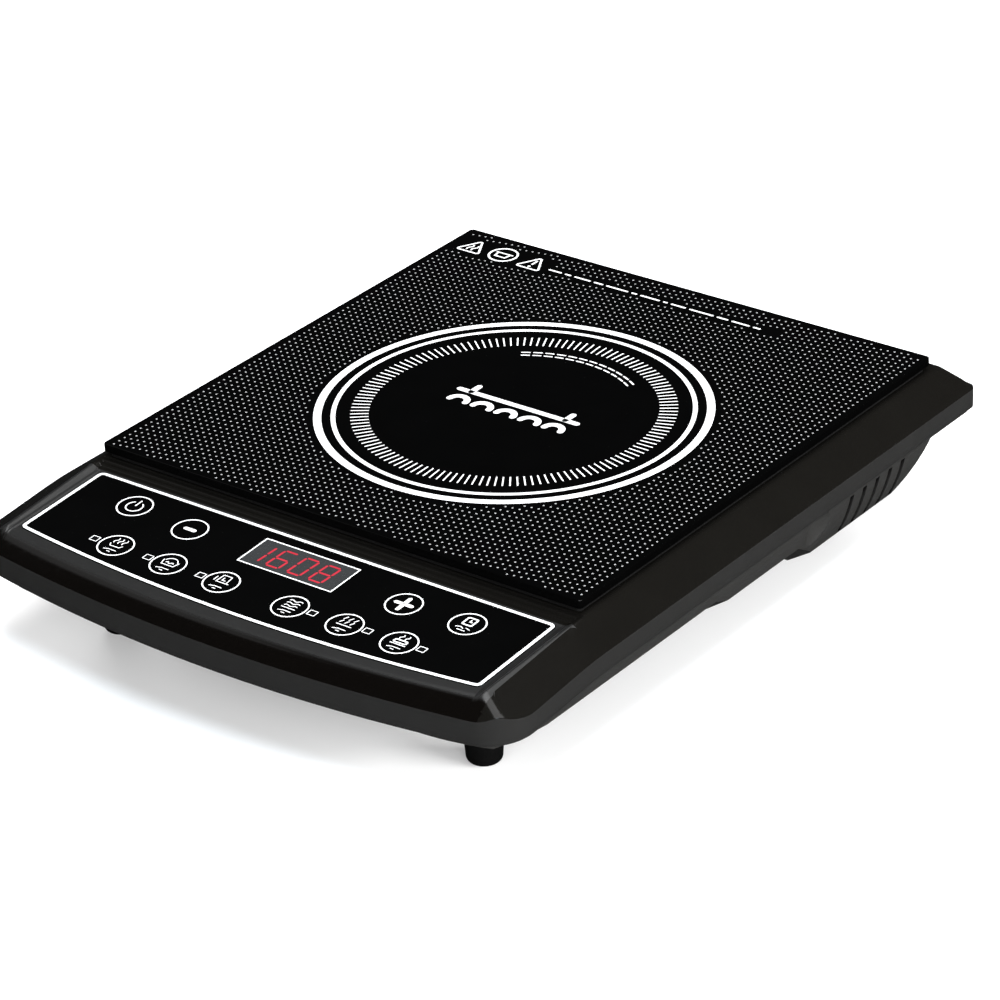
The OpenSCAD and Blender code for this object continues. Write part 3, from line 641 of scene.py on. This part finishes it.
def outline_points():
    """Points round the plan with their outward normals, anticlockwise from the front."""
    bow_y = FRONT_Y + BOW_R
    fx = HALF_W - FRONT_CORNER
    fy = bow_y - math.sqrt((BOW_R - FRONT_CORNER) ** 2 - fx * fx)
    rx, ry = HALF_W - REAR_CORNER, REAR_Y - REAR_CORNER
    lean = math.asin(fx / (BOW_R - FRONT_CORNER))
    pts = []
    for a in steps(-lean, lean, 96):
        pts.append((BOW_R * math.sin(a), bow_y - BOW_R * math.cos(a), math.sin(a), -math.cos(a)))
    pts += corner_points(fx, fy, FRONT_CORNER, steps(-math.pi / 2 + lean, 0, 18))
    pts += [(HALF_W, y, 1.0, 0.0) for y in steps(fy, ry, 120)]
    pts += corner_points(rx, ry, REAR_CORNER, steps(0, math.pi / 2, 10))
    pts += [(x, REAR_Y, 0.0, 1.0) for x in steps(rx, -rx, 60)]
    pts += corner_points(-rx, ry, REAR_CORNER, steps(math.pi / 2, math.pi, 10))
    pts += [(-HALF_W, y, -1.0, 0.0) for y in steps(ry, fy, 120)]
    pts += corner_points(-fx, fy, FRONT_CORNER, steps(math.pi, math.pi + math.pi / 2 - lean, 18))
    return np.array(pts)


def inside(loop, px, py):
    """Which points lie inside a closed loop, by crossings."""
    result = np.zeros(px.shape, bool)
    n = len(loop)
    for i in range(n):
        x0, y0 = loop[i]
        x1, y1 = loop[(i + 1) % n]
        crosses = (y0 > py) != (y1 > py)
        if y1 != y0:
            result ^= crosses & (px < (x1 - x0) * (py - y0) / (y1 - y0) + x0)
    return result


def adaptive_points(x0, x1, y0, y1):
    """Cell corners, halved wherever the face bends away from the cell's corners."""
    halves, corners = (0, 0.5, 1), (0, 1)
    cells = [(x, y, CELL) for x in np.arange(x0, x1, CELL) for y in np.arange(y0, y1, CELL)]
    kept = []
    while cells:
        c = np.array(cells)
        x, y, s = c[:, 0], c[:, 1], c[:, 2]
        # Heights at the cell's corners (0, 2, 6, 8), the middles of its sides (1, 3, 5, 7) and its middle (4)
        h = [shell_height(x + s * u, y + s * v) for u in halves for v in halves]
        corner = (h[0] + h[2] + h[6] + h[8]) / 4
        bend = np.maximum.reduce([np.abs(h[4] - corner), np.abs(h[1] - (h[0] + h[2]) / 2),
                                  np.abs(h[3] - (h[0] + h[6]) / 2), np.abs(h[5] - (h[2] + h[8]) / 2),
                                  np.abs(h[7] - (h[6] + h[8]) / 2)])
        split = (bend > CELL_TOL) & (s > SMALLEST_CELL)
        kept += [tuple(q) for q in c[~split]]
        cells = [(qx + u * qs / 2, qy + v * qs / 2, qs / 2)
                 for qx, qy, qs in c[split] for u in corners for v in corners]
    pts = {(round(qx + u * qs, 3), round(qy + v * qs, 3))
           for qx, qy, qs in kept for u in corners for v in corners}
    return np.array(sorted(pts))


def panel_plan(x, y):
    """A panel-frame point's place in the plan."""
    return x, PANEL_Y + y * math.cos(TILT)


def shell_openings():
    """The face's openings in the plan: under each key, indicator and the display, and under the glass."""
    loops = [circle(x, y, KEY_R + 0.3, 48) for x, y in KEYS.values()]
    loops += [rect_loop(x, y, LED_W - 1.4, LED_D - 0.6, 0.2, 2) for x, y in LEDS]
    loops.append(rect_loop(*WINDOW, WINDOW_W - 2, WINDOW_D - 2, 0.2, 2))
    openings = [[panel_plan(x, y) for x, y in loop] for loop in loops]
    openings.append(rect_loop(*GLASS_OPENING, 1.0, 3))
    return openings


def grown(loop, by=0.25):
    """A loop moved outwards from its middle."""
    cx, cy = np.mean(loop, axis=0)
    out = []
    for x, y in loop:
        k = 1 + by / max(1.0, math.hypot(x - cx, y - cy))
        out.append((cx + (x - cx) * k, cy + (y - cy) * k))
    return out


def face_points(limit, openings):
    """The points of the face that lie within a limit and clear of every opening."""
    # The grid reaches just past the plan on every side
    cells = adaptive_points(-144, 144, -180, 180)
    x, y = cells[:, 0], cells[:, 1]
    keep = inside(limit, x, y)
    for loop in openings:
        keep &= ~inside(grown(loop), x, y)
    return cells[keep]


def plan_triangles(edge_loop, wall_loop, openings, cells):
    """Triangles over the plan that follow every loop. where gives the vertex that a given point became."""
    points, edges = [], []
    for loop in (edge_loop, wall_loop, *openings):
        b = len(points)
        points += [Vector((float(q[0]), float(q[1]))) for q in loop]
        edges += [(b + i, b + (i + 1) % len(loop)) for i in range(len(loop))]
    points += [Vector((float(q[0]), float(q[1]))) for q in cells]
    out_v, _, out_f, given, _, _ = delaunay_2d_cdt(points, edges, [], 0, MERGE_DIST, True)
    where = {q: i for i, names in enumerate(given) for q in names}
    v = np.array([(q[0], q[1]) for q in out_v])
    tri = np.array([list(f) for f in out_f])
    a, b, c = v[tri[:, 0]], v[tri[:, 1]], v[tri[:, 2]]
    area = (b[:, 0] - a[:, 0]) * (c[:, 1] - a[:, 1]) - (b[:, 1] - a[:, 1]) * (c[:, 0] - a[:, 0])
    tri[area < 0] = tri[area < 0][:, ::-1]
    middle = (a + b + c) / 3
    good = inside(edge_loop, middle[:, 0], middle[:, 1]) & (np.abs(area) > SLIVER_AREA)
    for loop in openings:
        good &= ~inside(loop, middle[:, 0], middle[:, 1])
    in_wall = inside(wall_loop, middle[:, 0], middle[:, 1])
    return v, tri[good], tri[good & in_wall], where


def opening_walls(tri, outer_loop, count):
    """Walls from the face's skin to the inner one, along every border that isn't the outer edge."""
    border = {}
    for t in tri:
        for i in range(3):
            e = (int(t[i]), int(t[(i + 1) % 3]))
            if (e[1], e[0]) in border:
                del border[(e[1], e[0])]
            else:
                border[e] = True
    return [[j, i, count + i, count + j] for i, j in border if not (i in outer_loop and j in outer_loop)]


def side_rows(p0, nrm):
    """The rounded upper edge, the skirt, its rounded lower edge and the lip, as insets and heights."""
    n = len(p0)
    # The face's slope just inside its edge, over one millimetre
    slope = shell_height(*(p0 - 2.2 * nrm).T) - shell_height(*(p0 - 1.2 * nrm).T)
    z_edge = shell_height(*(p0 - EDGE_IN * nrm).T)
    # The round's middle lies so that it meets both the face's slope and the upright skirt
    flare = np.sqrt(1 + slope ** 2)
    z_rim = z_edge - slope * EDGE_IN
    z_c = z_rim + slope * RIM_ROUND - RIM_ROUND * flare
    phi = np.arctan2(1, -slope)
    low = (SKIRT_Z - SKIRT_H) + np.minimum(0, p0[:, 1] - SKIRT_BREAK_Y) * FRONT_FALL
    rows = []
    for k in range(7):
        ang = phi + (math.pi - phi) * (k / 6)
        rows.append((RIM_ROUND + RIM_ROUND * np.cos(ang), z_c + RIM_ROUND * np.sin(ang)))
    rows.append((np.zeros(n), low + SKIRT_ROUND + 2.5))
    for deg in (0, 30, 60, 90):
        t = math.radians(deg)
        rows.append((np.full(n, SKIRT_ROUND * (1 - math.cos(t))), low + SKIRT_ROUND * (1 - math.sin(t))))
    rows.append((np.full(n, WALL_IN), low))
    return rows


def face_vectors(mesh, name):
    """A vector that every face of a mesh has, as rows."""
    values = np.zeros(len(mesh.polygons) * 3, np.float32)
    mesh.polygons.foreach_get(name, values)
    return values.reshape(-1, 3)


def set_exact_normals(mesh, verts, outer, face_normals):
    """Gives the face the normals of its exact form, so that its reflections run true."""
    normals = np.zeros(len(mesh.loops) * 3, np.float32)
    mesh.corner_normals.foreach_get("vector", normals)
    normals = normals.reshape(-1, 3)
    starts = np.zeros(len(mesh.polygons), np.int32)
    mesh.polygons.foreach_get("loop_start", starts)
    vert_of = np.zeros(len(mesh.loops), np.int32)
    mesh.loops.foreach_get("vertex_index", vert_of)
    up = face_normals[:, 2] > LOOKS_UP
    x, y = np.array(verts)[:, :2].T
    step = 0.04
    gx = (shell_height(x + step, y) - shell_height(x - step, y)) / (2 * step)
    gy = (shell_height(x, y + step) - shell_height(x, y - step)) / (2 * step)
    exact = np.stack([-gx, -gy, np.ones_like(gx)], 1)
    exact /= np.linalg.norm(exact, axis=1)[:, None]
    for f in np.flatnonzero(up):
        ids = slice(starts[f], starts[f] + 3)
        vs = vert_of[ids]
        if mesh.polygons[f].loop_total == 3 and outer[vs].all():
            normals[ids] = exact[vs]
    mesh.normals_split_custom_set([tuple(q) for q in normals.astype(float)])


def paint_light_on_bed_and_skirt(mesh, face_normals):
    """Gives the panel's bed and the skirt paler copies of the shell's plastic, which are painted light, with
    a rougher, more even finish than the flanks and roll-off have.
    """
    mesh.materials.append(M["recess_painted_light_and_shade"])
    mesh.materials.append(M["skirt_painted_light"])
    centres = face_vectors(mesh, "center") / MM
    nz = face_normals[:, 2]
    bed = (centres[:, 1] < BED_FACE_Y) & (np.abs(centres[:, 0]) < BED_FACE_X) & (nz > LEVEL)
    index = np.where(bed, 1, np.where(np.abs(nz) < LEVEL, 2, 0)).astype(np.int32)
    mesh.polygons.foreach_set("material_index", index)


def top_shell():
    """The upper shell as one closed skin: face, sides, lip, inner face and the walls of its openings."""
    ring = outline_points()
    p0, nrm = ring[:, :2], ring[:, 2:]
    n = len(ring)
    openings = shell_openings()
    cells = face_points(p0 - (WALL_IN + 0.35) * nrm, openings)
    loops = p0 - EDGE_IN * nrm, p0 - WALL_IN * nrm
    v, tri, inner_tri, where = plan_triangles(*loops, openings, cells)
    edge_ids, wall_ids = [where[i] for i in range(n)], [where[n + i] for i in range(n)]

    # The face, the inner face a wall's thickness below it, and the walls of the openings
    z = shell_height(v[:, 0], v[:, 1])
    count = len(v)
    verts = [(q[0], q[1], h) for q, h in zip(v, z)]
    verts += [(q[0], q[1], h - WALL) for q, h in zip(v, z)]
    faces = [list(t) for t in tri]
    faces += [[count + i for i in reversed(t)] for t in inner_tri]
    faces += opening_walls(tri, set(edge_ids), count)

    previous = edge_ids
    for inset, height in side_rows(p0, nrm):
        base = len(verts)
        q = p0 - inset[:, None] * nrm
        verts += [(q[i, 0], q[i, 1], height[i]) for i in range(n)]
        for i in range(n):
            j = (i + 1) % n
            faces.append([previous[j], previous[i], base + i, base + j])
        previous = [base + i for i in range(n)]
    for i in range(n):
        j = (i + 1) % n
        faces.append([previous[j], previous[i], count + wall_ids[i], count + wall_ids[j]])

    used = sorted({i for f in faces for i in f})
    renumber = {i: k for k, i in enumerate(used)}
    verts = [verts[i] for i in used]
    faces = [[renumber[i] for i in f] for f in faces]
    shell = add_mesh("upper_shell_skin", verts, faces, M["body_plastic"], smooth_deg=32)
    face_normals = face_vectors(shell.data, "normal")
    set_exact_normals(shell.data, verts, np.array([i < count for i in used]), face_normals)
    paint_light_on_bed_and_skirt(shell.data, face_normals)
    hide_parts("top_shell")


top_shell()

# -------- print on the control film
PRINT_LOW, PRINT_HIGH = FILM_T - 0.01, FILM_T + 0.03
# How far the film's border lies in from its edge, outside and inside
BORDER_OUT, BORDER_IN = 0.25, 1.75
FILM_FRONT_Y = -FILM_DEPTH - 8.3
KEY_RING_OUT, KEY_RING_IN = KEY_R - 0.42, KEY_R - 1.06
LED_LINE = 0.70
# The display's figures: their size, stroke, lean, spacing and the gap at the ends of a segment
DIGIT_W, DIGIT_H, DIGIT_LINE, DIGIT_LEAN, DIGIT_PITCH, DIGIT_GAP = 6.6, 12.6, 1.05, 0.06, 11.1, 0.25
FINE, MEDIUM = 0.44, 0.6  # line widths of the key signs


def film_loop(inset):
    """The control film's outline, moved in, in the panel's own frame."""
    bow_y = FILM_FRONT_Y + FILM_BOW
    fx = FILM_HALF - FILM_CORNER
    fy = bow_y - math.sqrt((FILM_BOW - FILM_CORNER) ** 2 - fx * fx)
    lean = math.asin(fx / (FILM_BOW - FILM_CORNER))
    bow_r, corner_r = FILM_BOW - inset, FILM_CORNER - inset
    out = [(bow_r * math.sin(a), bow_y - bow_r * math.cos(a)) for a in steps(-lean, lean, 64)]
    quarter = math.pi / 2
    corners = ((fx, fy, -quarter + lean, 0), (fx, -FILM_CORNER, 0, quarter),
               (-fx, -FILM_CORNER, quarter, math.pi), (-fx, fy, math.pi, 1.5 * math.pi - lean))
    for cx, cy, start, end in corners:
        turns = np.linspace(start, end, 9)
        out += [(cx + corner_r * math.cos(a), cy + corner_r * math.sin(a)) for a in turns]
    return out


def film_print():
    """The border of the film, and the outlines of the display and the indicators."""
    p = Print(on_panel, PRINT_LOW, PRINT_HIGH)
    p.loops([film_loop(BORDER_OUT), film_loop(BORDER_IN)])
    x, y = WINDOW
    p.loops([rect_loop(x, y, WINDOW_W + 0.8, WINDOW_D + 0.8, 0.4),
             rect_loop(x, y, WINDOW_W - 0.5, WINDOW_D - 0.5, 0.2)])
    for lx, ly in LEDS:
        p.loops([rect_loop(lx, ly, LED_W, LED_D, 0.35, 3),
                 rect_loop(lx, ly, LED_W - LED_LINE, LED_D - LED_LINE, 0.15, 3)])
    p.finish("print_panel_lines", M["white_print"], "housing")


def segment_loop(start, end):
    """One straight segment of a figure, pointed at both ends."""
    (x0, y0), (x1, y1) = start, end
    dx, dy = np.sign(x1 - x0), np.sign(y1 - y0)
    ax, ay, bx, by = x0 + dx * DIGIT_GAP, y0 + dy * DIGIT_GAP, x1 - dx * DIGIT_GAP, y1 - dy * DIGIT_GAP
    half = DIGIT_LINE / 2
    px, py = -dy, dx
    return [(ax, ay), (ax + dx * half + px * half, ay + dy * half + py * half),
            (bx - dx * half + px * half, by - dy * half + py * half), (bx, by),
            (bx - dx * half - px * half, by - dy * half - py * half),
            (ax + dx * half - px * half, ay + dy * half - py * half)]


def digits():
    """Four seven-segment figures."""
    p = Print(on_panel, PRINT_LOW, PRINT_HIGH)
    w, h = DIGIT_W, DIGIT_H
    segments = {"a": ((0, h), (w, h)), "b": ((w, h), (w, h / 2)), "c": ((w, h / 2), (w, 0)),
                "d": ((0, 0), (w, 0)), "e": ((0, h / 2), (0, 0)), "f": ((0, h), (0, h / 2)),
                "g": ((0, h / 2), (w, h / 2))}
    shapes = {"1": "bc", "6": "acdefg", "0": "abcdef", "8": "abcdefg"}
    for k, figure in enumerate("1608"):
        ox, oy = WINDOW[0] - 20.0 + DIGIT_PITCH * k - w / 2 + 0.4, WINDOW[1] - 0.3 - h / 2
        for name in shapes[figure]:
            pts = segment_loop(*segments[name])
            pts = [(ox + qx + (qy - h / 2) * DIGIT_LEAN, oy + qy) for qx, qy in pts]
            area = sum(q[0] * r[1] - r[0] * q[1] for q, r in zip(pts, pts[1:] + pts[:1]))
            p.loops([pts if area > 0 else pts[::-1]])
    p.finish("display_figures", M["digit"], "housing")


def control_sign(p, name):
    """The sign of one of the four control keys."""
    if name == "power":
        p.stroke(arc(0, -0.3, 3.7, 125, 415, 28), MEDIUM)
        p.stroke([(0, 0.4), (0, 4.6)], MEDIUM)
    elif name == "minus":
        p.stroke([(-2.3, 0), (2.3, 0)], 2.0)
    elif name == "plus":
        p.stroke([(-3.9, 0), (3.9, 0)], 1.9)
        p.stroke([(0, -4.2), (0, 4.2)], 1.9)
    else:
        # The timer's clock, over a short pair of strokes
        p.loops([rect_loop(0, 1.9, 5.4, 5.8, 0.9), rect_loop(0, 1.9, 3.9, 4.3, 0.4)])
        p.stroke([(0, 3.0), (0, 1.7), (1.0, 1.7)], MEDIUM)
        p.stroke([(-3.2, -3.3), (-1.2, -2.6), (0.2, -3.4)], FINE)
        p.stroke([(1.4, -2.7), (3.3, -3.2)], FINE)
        p.stroke([(-1.6, -4.8), (1.9, -4.8)], FINE)


def mode_sign(p, mode):
    """The sign of one of the six mode keys, over a short pair of strokes where the real key has a word."""
    p.stroke([(-3.1, -4.1), (-0.8, -3.4), (2.9, -3.5)], FINE)
    p.stroke([(-0.6, -5.0), (0.8, -5.0)], FINE)
    if mode == 1:
        for dx in (-2.2, 0, 2.2):
            p.stroke(wave(dx - 0.3, 1.6, dx + 0.3, 5.2, 0.45), FINE)
        p.stroke([(-3.2, 0.6), (-2.4, -0.9), (2.4, -0.9), (3.2, 0.6)], FINE)
    elif mode == 2:
        p.stroke(arc(0, 1.2, 3.3, 20, 160, 12), FINE)
        p.stroke([(-3.9, 2.3), (-3.1, -0.8), (3.1, -0.8), (3.9, 2.3)], FINE)
        p.stroke(wave(-1.9, 0.9, 1.9, 0.9, 0.5, 1.5), FINE)
    elif mode == 3:
        p.stroke([(-2.3, 4.9), (1.9, 4.9), (2.6, -0.2)], FINE)
        p.stroke([(-2.3, 4.9), (-2.6, -0.2), (3.7, -0.2)], FINE)
        p.stroke([(-0.7, 3.2), (-0.7, 1.4), (0.9, 1.4)], FINE)
        p.stroke([(-4.1, 3.0), (-4.1, 0.2)], FINE)
    elif mode == 4:
        for dy in (0.2, 2.1, 4.0):
            p.stroke(wave(-3.0, dy, 3.0, dy + 0.5, 0.4, 1.5), FINE)
        p.stroke([(-3.3, -1.3), (3.3, -1.3)], FINE)
    elif mode == 5:
        for dx in (-2.6, 0, 2.6):
            p.stroke([(dx - 0.4, 3.4), (dx + 0.5, 5.2)], FINE)
            p.stroke([(dx - 0.6, 0.9), (dx + 0.3, 2.6)], FINE)
        p.stroke([(-3.6, -0.6), (3.6, -0.6)], FINE)
    else:
        for dx in (-1.8, 1.0):
            p.stroke(wave(dx, 2.6, dx + 0.6, 5.4, 0.4), FINE)
        p.loops([rect_loop(0, 0.9, 6.6, 2.6, 0.8), rect_loop(0, 0.9, 5.2, 1.2, 0.3)])
        p.stroke([(-3.6, -1.2), (3.6, -1.2)], FINE)


def key_print(name):
    """The ring and the sign of one key, which ride with it."""
    kx, ky = KEYS[name]

    def on_key(x, y, z):
        return on_panel(kx + x, ky + y, z)

    p = Print(on_key, PRINT_LOW, PRINT_HIGH)
    p.loops([circle(0, 0, KEY_RING_OUT, 72), circle(0, 0, KEY_RING_IN, 72)])
    if name.startswith("mode"):
        mode_sign(p, int(name[-1]))
    else:
        control_sign(p, name)
    p.finish("print_key_" + name, M["white_print"], "button_" + name)


film_print()
digits()
for key_name in KEYS:
    key_print(key_name)


# -------- floor, light and camera, in metres
FLOOR_HALF, FLOOR_DROP, FLOOR_GLOW = 12.0, 0.0001, 0.16
WORLD_COLOUR, WORLD_STRENGTH = (0.9, 0.95, 1.0, 1), 0.018


def stage_floor():
    """A pale floor that glows a little, so that shadows stay thin, and that glossy faces don't mirror."""
    mesh = bpy.data.meshes.new("floor")
    s = FLOOR_HALF
    mesh.from_pydata([(-s, -s, 0), (s, -s, 0), (s, s, 0), (-s, s, 0)], [], [(0, 1, 2, 3)])
    floor = bpy.data.objects.new("floor", mesh)
    bpy.context.scene.collection.objects.link(floor)
    floor.location.z = -FLOOR_DROP
    floor.visible_glossy = False
    pale = material("floor_pale", (0.86, 0.86, 0.86), 0.9, vary=0.01, blotch=2.0, specular=0.1)
    mesh.materials.append(pale)
    shader = nodes_of(pale)[2]
    shader.inputs["Emission Color"].default_value = (1, 1, 1, 1)
    shader.inputs["Emission Strength"].default_value = FLOOR_GLOW


def studio_world():
    """A world that is white to the camera and dim to everything else."""
    world = bpy.data.worlds.new("studio")
    bpy.context.scene.world = world
    world.use_nodes = True
    tree = world.node_tree
    tree.nodes.clear()
    out = tree.nodes.new("ShaderNodeOutputWorld")
    choice = tree.nodes.new("ShaderNodeMixShader")
    path = tree.nodes.new("ShaderNodeLightPath")
    dim, white = tree.nodes.new("ShaderNodeBackground"), tree.nodes.new("ShaderNodeBackground")
    dim.inputs["Color"].default_value = WORLD_COLOUR
    dim.inputs["Strength"].default_value = WORLD_STRENGTH
    white.inputs["Color"].default_value = (1, 1, 1, 1)
    white.inputs["Strength"].default_value = 1.0
    tree.links.new(path.outputs["Is Camera Ray"], choice.inputs["Fac"])
    tree.links.new(dim.outputs["Background"], choice.inputs[1])
    tree.links.new(white.outputs["Background"], choice.inputs[2])
    tree.links.new(choice.outputs["Shader"], out.inputs["Surface"])


def softbox(name, at, aim, size, watts, colour=(1, 1, 1), mirrored=True):
    """A rectangular light. One that isn't mirrored lights the scene but doesn't show in reflections."""
    data = bpy.data.lights.new(name, "AREA")
    data.shape = "RECTANGLE"
    data.size, data.size_y = size
    data.energy = watts
    data.color = colour
    obj = bpy.data.objects.new(name, data)
    bpy.context.scene.collection.objects.link(obj)
    obj.visible_glossy = mirrored
    obj.location = at
    obj.rotation_euler = (Vector(aim) - Vector(at)).to_track_quat("-Z", "Y").to_euler()


def stage():
    """The floor, the world and the lights."""
    stage_floor()
    studio_world()
    softbox("overhead_softbox", (0.3, 0.3, 3.0), (0, 0, 0), (2.2, 2.2), 120)
    softbox("camera_side_softbox", (2.0, -3.0, 1.5), (0, 0, 0), (5.0, 2.4), 212, mirrored=False)
    softbox("side_softbox", (3.2, 0.5, 0.9), (0, 0.05, 0.03), (2.2, 1.2), 225, mirrored=False)
    softbox("rear_fill", (-2.2, 2.6, 1.1), (0, 0, 0.03), (2.4, 1.2), 95, mirrored=False)
    softbox("left_card", (-1.9, -0.45, 1.9), (0, -0.15, 0.05), (1.2, 1.2), 3.2)
    softbox("corner_strip", (0.62, -0.68, 1.50), (0.12, -0.15, 0.05), (0.42, 0.45), 16, (0.80, 0.90, 1.0))


def camera():
    """The photograph's view, as an azimuth, an elevation and a small roll about the aim point."""
    az, el, roll = math.radians(37.79), math.radians(27.92), math.radians(-2.19)
    aim, distance = Vector((0.00367, 0.01195, 0.03013)), 1.873
    back = Vector((math.sin(az) * math.cos(el), -math.cos(az) * math.cos(el), math.sin(el)))
    level_right = Vector((math.cos(az), math.sin(az), 0))
    level_up = back.cross(level_right)
    right = level_right * math.cos(roll) + level_up * math.sin(roll)
    up = level_up * math.cos(roll) - level_right * math.sin(roll)
    data = bpy.data.cameras.new("camera")
    data.sensor_width = 36.0
    data.lens = 157.19
    data.clip_start = 0.05
    cam = bpy.data.objects.new("camera", data)
    bpy.context.scene.collection.objects.link(cam)
    at = aim + back * distance
    cam.matrix_world = Matrix(((right.x, up.x, back.x, at.x), (right.y, up.y, back.y, at.y),
                               (right.z, up.z, back.z, at.z), (0, 0, 0, 1)))
    bpy.context.scene.camera = cam
    bpy.context.scene.view_settings.view_transform = "Standard"


stage()
camera()
